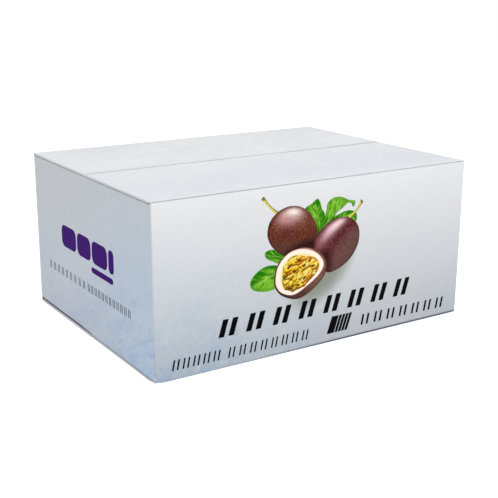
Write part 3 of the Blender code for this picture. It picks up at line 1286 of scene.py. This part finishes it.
def stemMaterial():
    material, tree, shader = newMaterial("stemPrint")
    along, across = splitVector(tree, attributeVector(tree, "spot"))[:2]
    rings = maths(tree, "PINGPONG", maths(tree, "MULTIPLY", along, stemShape["rings"]), 0.5)
    bark = layered(tree, printColour(116, 108, 14), (
        (remap(tree, across, -0.9, 0.3), (226, 218, 104)),
        (maths(tree, "MULTIPLY", remap(tree, rings, 0.12, 0.0), 0.8), (92, 82, 16)),
        (remap(tree, along, 0.84, 0.97, 0.0, 0.9), (66, 62, 32)),
    ))
    layInk(tree, shader, bark, thin=0.03)
    return material


cutScales = {"pithFibres": 520.0, "juice": 90.0, "juiceSacs": 330.0}


def pithMaterial():
    material, tree, shader = newMaterial("pithPrint")
    share = splitVector(tree, attributeVector(tree, "spot"))[2]
    fibre = remap(tree, noiseField(tree, objectCoords(tree), cutScales["pithFibres"], 4.0, 0.7), 0.45, 0.75)
    # Pink at the rind, yellow beside the pulp, and fibrous
    white = layered(tree, printColour(255, 243, 226), (
        (remap(tree, share, 0.94, 1.0), (244, 206, 192)),
        (maths(tree, "MULTIPLY", remap(tree, share, 0.88, 0.76), 0.7), (250, 228, 146)),
        (maths(tree, "MULTIPLY", fibre, 0.3), (242, 218, 200)),
    ))
    layInk(tree, shader, white, thin=0.01)
    return material


def pulpMaterial():
    material, tree, shader = newMaterial("pulpPrint")
    coords = objectCoords(tree)
    share = splitVector(tree, attributeVector(tree, "spot"))[2]
    wide = noiseField(tree, coords, cutScales["juice"], 4.0, 0.6, 0.6)
    sacs = addNode(tree, "ShaderNodeTexVoronoi", {"Vector": coords, "Scale": cutScales["juiceSacs"]})
    lit = remap(tree, sacs.outputs["Distance"], 0.5, 0.1)
    juice = layered(tree, printColour(116, 66, 0), (
        (remap(tree, wide, 0.4, 0.6), (180, 116, 0)),
        (maths(tree, "MULTIPLY", lit, 0.4), (240, 196, 60)),
        (maths(tree, "MULTIPLY", remap(tree, share, 0.9, 1.0), 0.35), (224, 190, 90)),
    ))
    layInk(tree, shader, juice, thin=0.01)
    return material


def sacMaterial():
    # Each sac has its own tint, from pale yellow to orange
    material, tree, shader = newMaterial("sacPrint")
    painted = useGroup(tree, paintedForm, {"Tightness": 4.0, "Sharpness": 12.0})
    tint = splitVector(tree, attributeVector(tree, "spot"))[2]
    mid = layered(tree, printColour(236, 218, 112), (
        (remap(tree, tint, 0.0, 0.3), (240, 200, 34)),
        (remap(tree, tint, 0.5, 0.85), (226, 134, 8)),
    ))
    dark = mixColour(tree, tint, printColour(132, 98, 0), printColour(136, 62, 0))
    juice = mixColour(tree, remap(tree, painted["Shade"], 0.15, 0.85), dark, mid)
    juice = tinted(tree, juice, painted["Highlight"], 0.85, printColour(255, 244, 168))
    layInk(tree, shader, juice, thin=0.01)
    return material


def seedMaterial():
    material, tree, shader = newMaterial("seedPrint")
    painted = useGroup(tree, paintedForm, {"Tightness": 8.0, "Sharpness": 20.0})
    seed = mixColour(tree, painted["Shade"], printColour(48, 28, 0), printColour(104, 68, 8))
    seed = tinted(tree, seed, painted["Highlight"], 0.5, printColour(214, 170, 60))
    layInk(tree, shader, seed, thin=0.01)
    return material


# Colours as screen values, and the ways that light, gleam and reflections come from
roundSkin = {
    "dark": (50, 12, 6),
    "mid": (96, 36, 26),
    "blush": (114, 60, 24),
    "grain": (180, 116, 90),
    "bounce": (100, 62, 52),
    "flank": (106, 54, 28),
    "edge": (58, 22, 18),
    "deep": (34, 2, 0),
    "glow": (214, 162, 160),
    "light": (255, 242, 232),
}
roundWays = {
    "Light": (-0.1, 0.66, 0.74),
    "Tightness": 14.0,
    "Gleam": (0.03, 0.78, 0.62),
    "Sharpness": 42.0,
    "Below": (-0.2, -0.8, 0.4),
    "Beside": (0.85, 0.25, 0.45),
}
ovalSkin = {
    "dark": (44, 10, 12),
    "mid": (80, 22, 30),
    "blush": (88, 28, 38),
    "grain": (172, 108, 110),
    "bounce": (124, 88, 82),
    "flank": (152, 82, 90),
    "edge": (52, 30, 30),
    "deep": (44, 2, 2),
    "glow": (216, 160, 170),
    "light": (250, 222, 222),
}
ovalWays = {
    "Light": (-0.35, 0.62, 0.7),
    "Tightness": 32.0,
    "Gleam": (-0.32, 0.65, 0.69),
    "Sharpness": 60.0,
    "Below": (0.55, -0.45, 0.7),
    "Beside": (-0.92, -0.02, 0.38),
}
cutSkin = {
    "dark": (46, 16, 12),
    "mid": (118, 56, 44),
    "blush": (98, 34, 26),
    "grain": (164, 108, 86),
    "bounce": (98, 66, 56),
    "flank": (146, 100, 86),
    "edge": (64, 30, 26),
    "deep": (34, 8, 6),
    "glow": (170, 110, 100),
    "light": (200, 150, 140),
}
cutWays = {
    "Light": (-0.1, 0.8, 0.6),
    "Tightness": 12.0,
    "Gleam": (-0.1, 0.8, 0.6),
    "Sharpness": 30.0,
    "Below": (0.3, -0.7, 0.5),
    "Beside": (0.9, -0.1, 0.4),
}
inks = {
    "black": inkMaterial("blackInk", (3, 3, 6), 0.002),
    "fineBlack": inkMaterial("fineBlackInk", (5, 8, 16), 0.008),
    "purple": inkMaterial("purpleInk", (66, 0, 122), 0.003),
    "grey": inkMaterial("greyInk", (52, 60, 76), 0.04),
    "roundSkin": skinMaterial("roundFruitPrint", roundSkin, roundWays),
    "ovalSkin": skinMaterial("ovalFruitPrint", ovalSkin, ovalWays),
    "cutSkin": skinMaterial("cutFruitPrint", cutSkin, cutWays),
    "leaf": leafMaterial(),
    "stem": stemMaterial(),
    "pith": pithMaterial(),
    "pulp": pulpMaterial(),
    "sac": sacMaterial(),
    "seed": seedMaterial(),
}
print("inks mixed")

# The pictured fruit, in millimetres from the wall's middle and from the base. The outline is what
# shows, and the egg given by centre, radii and tilt is what it is shaded as
fruit = {
    "round": {
        "centre": (-39, 132),
        "radii": (31.5, 27),
        "tilt": -6,
        "stretch": 1.2,
        "outline": (
            (-70.3, 134), (-67.5, 145), (-59.5, 153.2), (-50, 157.5), (-40.5, 158.6), (-29.5, 156.3),
            (-19.5, 150), (-12.2, 141), (-8.4, 131), (-8.8, 119), (-14, 109), (-30, 104), (-48, 107),
            (-61, 115.5), (-68, 125),
        ),
    },
    "oval": {
        "centre": (17, 110),
        "radii": (35.5, 27.5),
        "tilt": 40,
        "stretch": 2.0,
        "outline": (
            (-14.2, 113.5), (-12, 120.5), (-5, 127.2), (5.4, 134.4), (14, 138), (24, 138.9), (33, 137.3),
            (40.6, 133), (46, 126.8), (48.3, 118.5), (47.6, 109), (44.1, 101), (37.5, 92.3), (28, 85.6),
            (18, 81.8), (9, 80.4), (1, 84), (-8, 95), (-13.5, 105),
        ),
    },
    "cut": {"centre": (-28, 86), "radii": (35, 27), "tilt": 22, "stretch": 1.0},
    "rind": (
        (-61.5, 82), (-58.7, 97), (-47, 109), (-31, 113), (-14, 110), (-2, 102.5), (5.3, 90),
        (3, 79), (-6, 69.5), (-19, 61.5), (-33, 58.2), (-49, 63.5), (-58.5, 72),
    ),
    "pith": (
        (-59.8, 83), (-57, 97), (-46, 108.3), (-31, 112), (-15, 108.5), (-4, 101), (1.5, 91),
        (-4, 81), (-19, 71), (-36, 63.6), (-50, 67), (-57.5, 74),
    ),
    "pulp": (
        (-51.5, 88), (-48.5, 98.5), (-38, 105.8), (-24, 103.6), (-10, 99.8), (-4.4, 91), (-9.5, 81.5),
        (-24, 71.5), (-38, 67.8), (-48, 71.5), (-51.5, 79),
    ),
    "sacs": 84,
    "sacSize": (4.3, 2.9),
    "sacTint": (0.3, 0.27),  # middle and spread, from pale yellow at 0 to orange at 1
    "sacLean": 24,  # degrees
    "seeds": (
        (-43.5, 94.5), (-48, 84.5), (-23.5, 80), (-31.5, 73.5), (-12.5, 91.3), (-24, 93.6), (-42, 71.6),
        (-36, 89), (-30, 99.5), (-17, 98),
    ),
    "seedSize": (2.5, 1.4),
}
# Each leaf's outline runs round it, and its spine from base to tip places the veins
leaves = (
    {
        "outline": (
            (14, 137), (15.5, 140.8), (21, 142.8), (28, 144.6), (36, 144.5), (42, 141.5), (38, 134),
            (24, 133),
        ),
        "spine": ((6, 136), (44, 141)),
        "width": 10,
        "bend": 0.0,
        "lit": -0.5,
    },
    {
        "outline": (
            (36.2, 136), (37, 140.5), (40, 142), (43.4, 140), (44, 135.5), (42.8, 131.2), (39, 131),
        ),
        "spine": ((38, 143), (43, 130)),
        "width": 12,
        "bend": -1.0,
        "lit": -0.9,
    },
    {
        "outline": (
            (30, 153.6), (32.5, 156), (37, 155.2), (41.2, 154), (41, 150.8), (38.3, 147.8), (37, 151),
            (34, 153),
        ),
        "spine": ((30, 155), (41, 149)),
        "width": 6,
        "bend": 1.5,
        "lit": 1.9,
    },
    {
        "outline": (
            (-24.5, 151.5), (-22.2, 155.4), (-16.5, 157.6), (-12.4, 160.4), (-8.4, 162.2), (-5.2, 158.8),
            (-2.8, 151.3), (1, 145.6), (2, 137), (-2, 126), (-9, 123), (-14, 133), (-20, 144),
        ),
        "spine": ((-4, 127), (-12, 160)),
        "width": 18,
        "bend": -1.0,
        "lit": 1.0,
    },
    {
        "outline": (
            (-1, 128), (1.4, 141), (3.2, 149), (4.2, 155), (8, 159), (14.1, 161.2), (21.8, 160.8),
            (28, 158.4), (33.5, 155), (30.3, 152.6), (25, 148.8), (18, 145), (14.5, 140.5), (15, 132),
            (6, 127),
        ),
        "spine": ((0, 131), (33, 155)),
        "width": 20,
        "bend": 2.0,
        "lit": 0.8,
    },
    {
        "outline": (
            (-73.2, 112), (-71.5, 115.2), (-66, 116.4), (-57, 114.6), (-46, 112), (-44, 105), (-56, 100.6),
            (-63.5, 104), (-70.5, 107.4),
        ),
        "spine": ((-44, 104), (-73.5, 111.5)),
        "width": 13,
        "bend": -0.5,
        "lit": 0.9,
    },
    {
        "outline": (
            (-90.3, 82), (-89.6, 87.8), (-85.6, 92.6), (-78.4, 97.6), (-69.6, 100), (-58, 98.6), (-52, 92),
            (-52, 80), (-59.6, 74.4), (-70, 72.9), (-80, 74.6), (-87.4, 77.6),
        ),
        "spine": ((-53, 92), (-90.3, 79)),
        "width": 24,
        "bend": -0.5,
        "lit": 0.85,
    },
)
stems = (
    {"foot": (-57, 152), "tip": (-76.3, 171), "width": 3.7, "bend": 0.9},
    {"foot": (34, 136.5), "tip": (50.6, 153.4), "width": 3.8, "bend": -1.2},
)


def addLeaf(mesh, wall, leaf, layer):
    base, tip = (Vector(mm(*end)) for end in leaf["spine"])
    run = tip - base
    side = Vector((-run.y, run.x)).normalized()
    outline = softOutline([mm(*point) for point in leaf["outline"]], 6)
    middle = sum((Vector(point) for point in outline), Vector((0, 0))) / len(outline)

    def mark(across, up, share):
        away = Vector((across, up)) - base
        along = min(1.0, max(0.0, away.dot(run) / run.length_squared))
        spine = leaf["bend"] / 1000 * math.sin(math.pi * along)
        off = (away.dot(side) - spine) / (leaf["width"] / 2000)
        return Vector((0, 0, 1)), Vector((along, leaf["lit"] * max(-1.2, min(1.2, off)), share))

    count = leafLook["shapeRings"]
    shares = [i / count for i in range(1, count + 1)]
    addShape(mesh, wall, tuple(middle), outline, layer, shares, 0, mark)


def addStem(mesh, wall, stem, layer):
    foot, tip = Vector(mm(*stem["foot"])), Vector(mm(*stem["tip"]))
    run = tip - foot
    side = Vector((-run.y, run.x)).normalized()
    steps = stemShape["pieces"]

    def place(along, across):
        slim = stemShape["foot"] - stemShape["waist"] * math.sin(math.pi * along) - stemShape["taper"] * along
        width = stem["width"] / 2000 * slim
        bend = stem["bend"] / 1000 * math.sin(math.pi * along)
        return foot + run * along + side * (bend + across * width)

    def mark(across, up, share):
        away = Vector((across, up)) - foot
        along = away.dot(run) / run.length_squared
        off = away.dot(side) - stem["bend"] / 1000 * math.sin(math.pi * along)
        return Vector((0, 0, 1)), Vector((along, off / (stem["width"] / 2000), share))

    for i in range(steps):
        low, high = i / steps, (i + 1) / steps
        corners = [place(low, -1), place(low, 1), place(high, 1), place(high, -1)]
        centre = place((low + high) / 2, 0)
        addShape(mesh, wall, tuple(centre), [tuple(p) for p in corners], layer, (1.0,), 0, mark)


def inOutline(point, outline):
    # Whether a point lies inside, by counting the sides that a ray to the right crosses
    inside = False
    for (ax, ay), (bx, by) in zip(outline, outline[1:] + outline[:1]):
        if (ay > point.y) == (by > point.y):
            continue
        if point.x < ax + (bx - ax) * (point.y - ay) / (by - ay):
            inside = not inside
    return inside


cutInks = ("cutSkin", "pith", "pulp", "sac", "seed")  # in the order of the cut fruit's materials


def addSacs(mesh, wall, outline, centre):
    # Juice sacs, spread over the pulp on a sunflower's spiral, and a few seeds among them
    draw = random.Random(11)
    count = fruit["sacs"]

    def addOne(spot, size, lean, level, kind, tint):
        reach = Vector((math.cos(lean), math.sin(lean))) * size[0] / 1000
        for end in (spot + reach, spot - reach):
            if not inOutline(end, outline):
                spot = spot.lerp(centre, 0.14)
        material = cutInks.index(kind)
        addDrop(mesh, wall, tuple(spot), mm(*size), math.degrees(lean), level, material, lambda a, b: tint)

    for i in range(count):
        rim = Vector(outline[int(i * 0.618034 % 1 * len(outline))])
        away = math.sqrt((i + 0.4) / count)
        spot = centre.lerp(rim, away) + Vector(mm(draw.uniform(-1, 1), draw.uniform(-1, 1)))
        lean = math.radians(fruit["sacLean"] + draw.uniform(-38, 38))
        grown = draw.uniform(0.7, 1.25)
        # Redder along the upper right and at the lower right
        x, z = spot * 1000
        upper = smooth(z, 94, 101) * smooth(x, -34, -18)
        lower = smooth(-z, -84, -76) * smooth(x, -30, -16)
        warm = 0.75 * upper + 0.5 * lower
        tint = min(1.0, max(0.0, draw.gauss(*fruit["sacTint"]) + warm * 0.7))
        level = layerOf["sac"] + (i % 12) * layerOf["sacStep"]
        addOne(spot, [grown * r for r in fruit["sacSize"]], lean, level, "sac", tint)
    for i, seed in enumerate(fruit["seeds"]):
        lean = math.radians(fruit["sacLean"] + draw.uniform(-30, 30))
        level = layerOf["seed"] + (i % 2) * layerOf["seedStep"]
        addOne(Vector(mm(*seed)), fruit["seedSize"], lean, level, "seed", 0.5)


def nearCutFruit(across, up):
    # How much the cut fruit shades what lies behind it
    cut = fruit["cut"]
    away = (across * 1000 - cut["centre"][0], up * 1000 - cut["centre"][1])
    x, z = turned(*away, -math.radians(cut["tilt"]))
    beside = 1 - smooth(math.hypot(x / cut["radii"][0], z / cut["radii"][1]), 1.0, 1.36)
    return beside * (1 - 0.85 * smooth(up, 0.100, 0.112) * smooth(across, -0.014, -0.008))


def makePicture(wall):
    mesh = bmesh.new()
    for order, leaf in enumerate(leaves):
        addLeaf(mesh, wall, leaf, order * layerOf["leaf"])
    finishPrint(wall + "_printed_leaves", mesh, [inks["leaf"]])
    mesh = bmesh.new()
    for stem in stems:
        addStem(mesh, wall, stem, layerOf["stem"])
    finishPrint(wall + "_printed_stems", mesh, [inks["stem"]])
    for kind in ("round", "oval"):
        one = fruit[kind]
        middle = mm(*one["centre"])
        mark = ballMark(middle, mm(*one["radii"]), one["tilt"], one["stretch"], nearCutFruit)
        outline = softOutline([mm(*point) for point in one["outline"]], 6)
        mesh = bmesh.new()
        addShape(mesh, wall, middle, outline, layerOf[kind], roundShares, 0, mark)
        finishPrint(f"{wall}_printed_{kind}_fruit", mesh, [inks[kind + "Skin"]])
    cut = fruit["cut"]
    centre = mm(*cut["centre"])
    mesh = bmesh.new()
    for material, kind in enumerate(("rind", "pith", "pulp")):
        outline = softOutline([mm(*point) for point in fruit[kind]])
        third = (lambda across, up: 0.0) if kind == "rind" else None
        mark = ballMark(centre, mm(*cut["radii"]), cut["tilt"], cut["stretch"], third)
        addShape(mesh, wall, centre, outline, layerOf[kind], roundShares, material, mark)
    addSacs(mesh, wall, outline, Vector(centre))
    finishPrint(wall + "_printed_cut_fruit", mesh, [inks[name] for name in cutInks])


# Lines of plain bars, in millimetres. Each span is start, end and number of pairs of bars, and the
# foot and the height change from the line's left end to its right
longWallLines = (
    {
        "name": "heading",
        "ink": "black",
        "spans": ((-125, 121, 8),),
        "foot": (34, 36.4),
        "tall": (18.4, 20),
        "bar": 6.6,
        "gap": 5.0,
        "slant": 0.3,
    },
    {
        "name": "line",
        "ink": "fineBlack",
        "spans": ((-179.5, -126, 5), (-115.5, -17, 8)),
        "foot": (10.5, 10),
        "tall": (11, 11.4),
        "bar": 1.9,
        "gap": 3.3,
        "slant": 0.2,
    },
    {
        "name": "count",
        "ink": "fineBlack",
        "spans": ((56, 177, 7),),
        "foot": (12, 10.5),
        "tall": (12, 12.6),
        "bar": 2.9,
        "gap": 4.4,
        "slant": 0.18,
    },
)
endWallLines = (
    {
        "name": "subline",
        "ink": "grey",
        "spans": ((-113, -12, 9), (-4, 100, 12)),
        "foot": (52, 53),
        "tall": (9.5, 9),
        "bar": 1.4,
        "gap": 2.0,
        "slant": 0.0,
    },
)


def makeLine(wall, line):
    mesh = bmesh.new()
    wide = 2 * line["bar"] + line["gap"]
    first, last = line["spans"][0][0], line["spans"][-1][1]
    for start, end, count in line["spans"]:
        pitch = (end - start - wide) / (count - 1)
        for i in range(count):
            for shift in (line["bar"] / 2, wide - line["bar"] / 2):
                along = (start + pitch * i + shift - first) / (last - first)
                foot, tall = (a + (b - a) * along for a, b in (line["foot"], line["tall"]))
                centre = mm(start + pitch * i + shift, foot + tall / 2)
                size = mm(line["bar"], tall)
                outline = blockOutline(centre, *size, line["slant"], line["bar"] * 0.00012)
                addShape(mesh, wall, centre, outline, 1)
    finishPrint(f"{wall}_printed_{line['name']}", mesh, [inks[line["ink"]]])


# A stack of flat pouches on edge, as leaning blocks
pouchMark = {
    "start": 11.5,
    "foot": 10.5,
    "tall": 19,
    "wide": 9.5,
    "thin": 3.6,
    "gap": 0.9,
    "slant": 0.34,
    "count": 4,
}


def makePouchMark(wall):
    mesh = bmesh.new()
    middle = pouchMark["foot"] + pouchMark["tall"] / 2
    x = pouchMark["start"]
    for width in (pouchMark["wide"], *[pouchMark["thin"]] * pouchMark["count"]):
        centre = mm(x + width / 2, middle)
        outline = blockOutline(centre, *mm(width, pouchMark["tall"]), pouchMark["slant"], 0.0003)
        addShape(mesh, wall, centre, outline, 1)
        x += width + pouchMark["gap"]
    finishPrint(wall + "_printed_stack", mesh, [inks["black"]])


# A sign of rounded purple blocks over a bar
signBlocks = {
    "start": -72,
    "foot": 88.5,
    "tall": 25,
    "widths": (40.5, 36, 38.5, 12.5),
    "gap": 3,
    "corner": 8,
}
signBar = {"centre": (35, 80.5), "size": (54, 6.5), "corner": 3.1}


def makeSign(wall):
    mesh = bmesh.new()
    x = signBlocks["start"]
    for width in signBlocks["widths"]:
        corner = min(signBlocks["corner"], width * 0.4) / 1000
        centre = mm(x + width / 2, signBlocks["foot"] + signBlocks["tall"] / 2)
        outline = blockOutline(centre, *mm(width, signBlocks["tall"]), 0.0, corner)
        addShape(mesh, wall, centre, outline, 1, (0.5, 1.0))
        x += width + signBlocks["gap"]
    centre = mm(*signBar["centre"])
    outline = blockOutline(centre, *mm(*signBar["size"]), 0.0, signBar["corner"] / 1000)
    addShape(mesh, wall, centre, outline, 1, (0.5, 1.0))
    finishPrint(wall + "_printed_sign", mesh, [inks["purple"]])


for wall in ("front", "back"):
    makePicture(wall)
    makePouchMark(wall)
    for line in longWallLines:
        makeLine(wall, line)
for wall in ("left", "right"):
    makeSign(wall)
    for line in endWallLines:
        makeLine(wall, line)
print("print made")


# Floor, light and camera
studio = {
    "floorRadius": 6.0,
    "floorBelow": 0.0002,
    "floorTones": ((0.60, 0.60, 0.60, 1), (0.62, 0.62, 0.62, 1)),
    "floorGlow": (0.28, 0.6, 0.45),  # near the box and far from it to the camera, and everywhere
    "glowFrom": (0.2, 1.6),
    "fill": (0.95, 0.98, 1.02, 1),
    "fillStrength": 0.37,
    # Place, aim, power, size and colour
    "lights": {
        "key": ((0.02, -1.45, 2.10), (0, 0, 0.09), 37, 1.2, (1.0, 0.99, 0.975)),
        "overhead": ((-0.1, 0.2, 2.4), (0, 0, 0.18), 9, 2.0, (1.0, 1.0, 1.0)),
    },
}


def makeFloor():
    mesh = bmesh.new()
    bmesh.ops.create_circle(mesh, cap_ends=True, radius=studio["floorRadius"], segments=96)
    floor = finishMesh("floor", mesh, [], shiny=False)
    floor.location.z = -studio["floorBelow"]
    material, tree, shader = newMaterial("paleFloor")
    coords = objectCoords(tree)
    tone = mixColour(tree, noiseField(tree, coords, 3.0, 2.0), *studio["floorTones"])
    feed(tree, shader, {"Base Color": tone, "Roughness": 0.9, "Specular IOR Level": 0.1})
    # To the camera the floor glows up to white a little way from the box
    far = vectorMaths(tree, "LENGTH", coords)["Value"]
    seen = addNode(tree, "ShaderNodeLightPath").outputs["Is Camera Ray"]
    nearGlow, farGlow, steady = studio["floorGlow"]
    whitened = maths(tree, "MULTIPLY", seen, remap(tree, far, *studio["glowFrom"], nearGlow, farGlow))
    glow = maths(tree, "ADD", whitened, steady)
    feed(tree, shader, {"Emission Color": (1.0, 1.0, 1.0, 1), "Emission Strength": glow})
    floor.data.materials.append(material)


def makeLight(name, spot, aim, power, size, colour):
    lamp = bpy.data.lights.new(name, "AREA")
    lamp.shape = "SQUARE"
    lamp.size = size
    lamp.energy = power
    lamp.color = colour
    made = bpy.data.objects.new(name, lamp)
    made.location = spot
    made.rotation_euler = (Vector(spot) - Vector(aim)).to_track_quat("Z", "Y").to_euler()
    bpy.context.scene.collection.objects.link(made)


def makeWorld():
    world = bpy.data.worlds.new("studio")
    world.use_nodes = True
    tree = world.node_tree
    tree.nodes.clear()
    ray = tree.nodes.new("ShaderNodeLightPath")
    fill = {"Color": studio["fill"], "Strength": studio["fillStrength"]}
    fill = addNode(tree, "ShaderNodeBackground", fill)
    backdrop = addNode(tree, "ShaderNodeBackground", {"Color": (1, 1, 1, 1), "Strength": 1.0})
    parts = {0: ray.outputs["Is Camera Ray"], 1: fill.outputs[0], 2: backdrop.outputs[0]}
    mixed = addNode(tree, "ShaderNodeMixShader", parts)
    output = tree.nodes.new("ShaderNodeOutputWorld")
    tree.links.new(mixed.outputs[0], output.inputs["Surface"])
    bpy.context.scene.world = world


# The view that the reference picture was taken from
view = {
    "spot": Vector((-0.58265, -0.90894, 0.37997)),
    "azimuth": math.radians(-32.87),
    "elevation": math.radians(15.97),
    "roll": math.radians(0.28),
    "lens": 68.61,
}


def makeCamera():
    camera = bpy.data.cameras.new("camera")
    camera.lens = view["lens"]
    camera.sensor_width = 36.0
    camera.clip_start = 0.01
    made = bpy.data.objects.new("camera", camera)
    flat = math.cos(view["elevation"])
    across, along = math.sin(view["azimuth"]) * flat, -math.cos(view["azimuth"]) * flat
    backwards = Vector((across, along, math.sin(view["elevation"])))
    aimed = backwards.to_track_quat("Z", "Y").to_matrix().to_4x4()
    made.matrix_world = Matrix.Translation(view["spot"]) @ aimed @ Matrix.Rotation(view["roll"], 4, "Z")
    bpy.context.scene.collection.objects.link(made)
    bpy.context.scene.camera = made


makeFloor()
makeWorld()
for name, light in studio["lights"].items():
    makeLight(name, *light)
makeCamera()
bpy.context.scene.view_settings.view_transform = "Standard"
print("studio made")
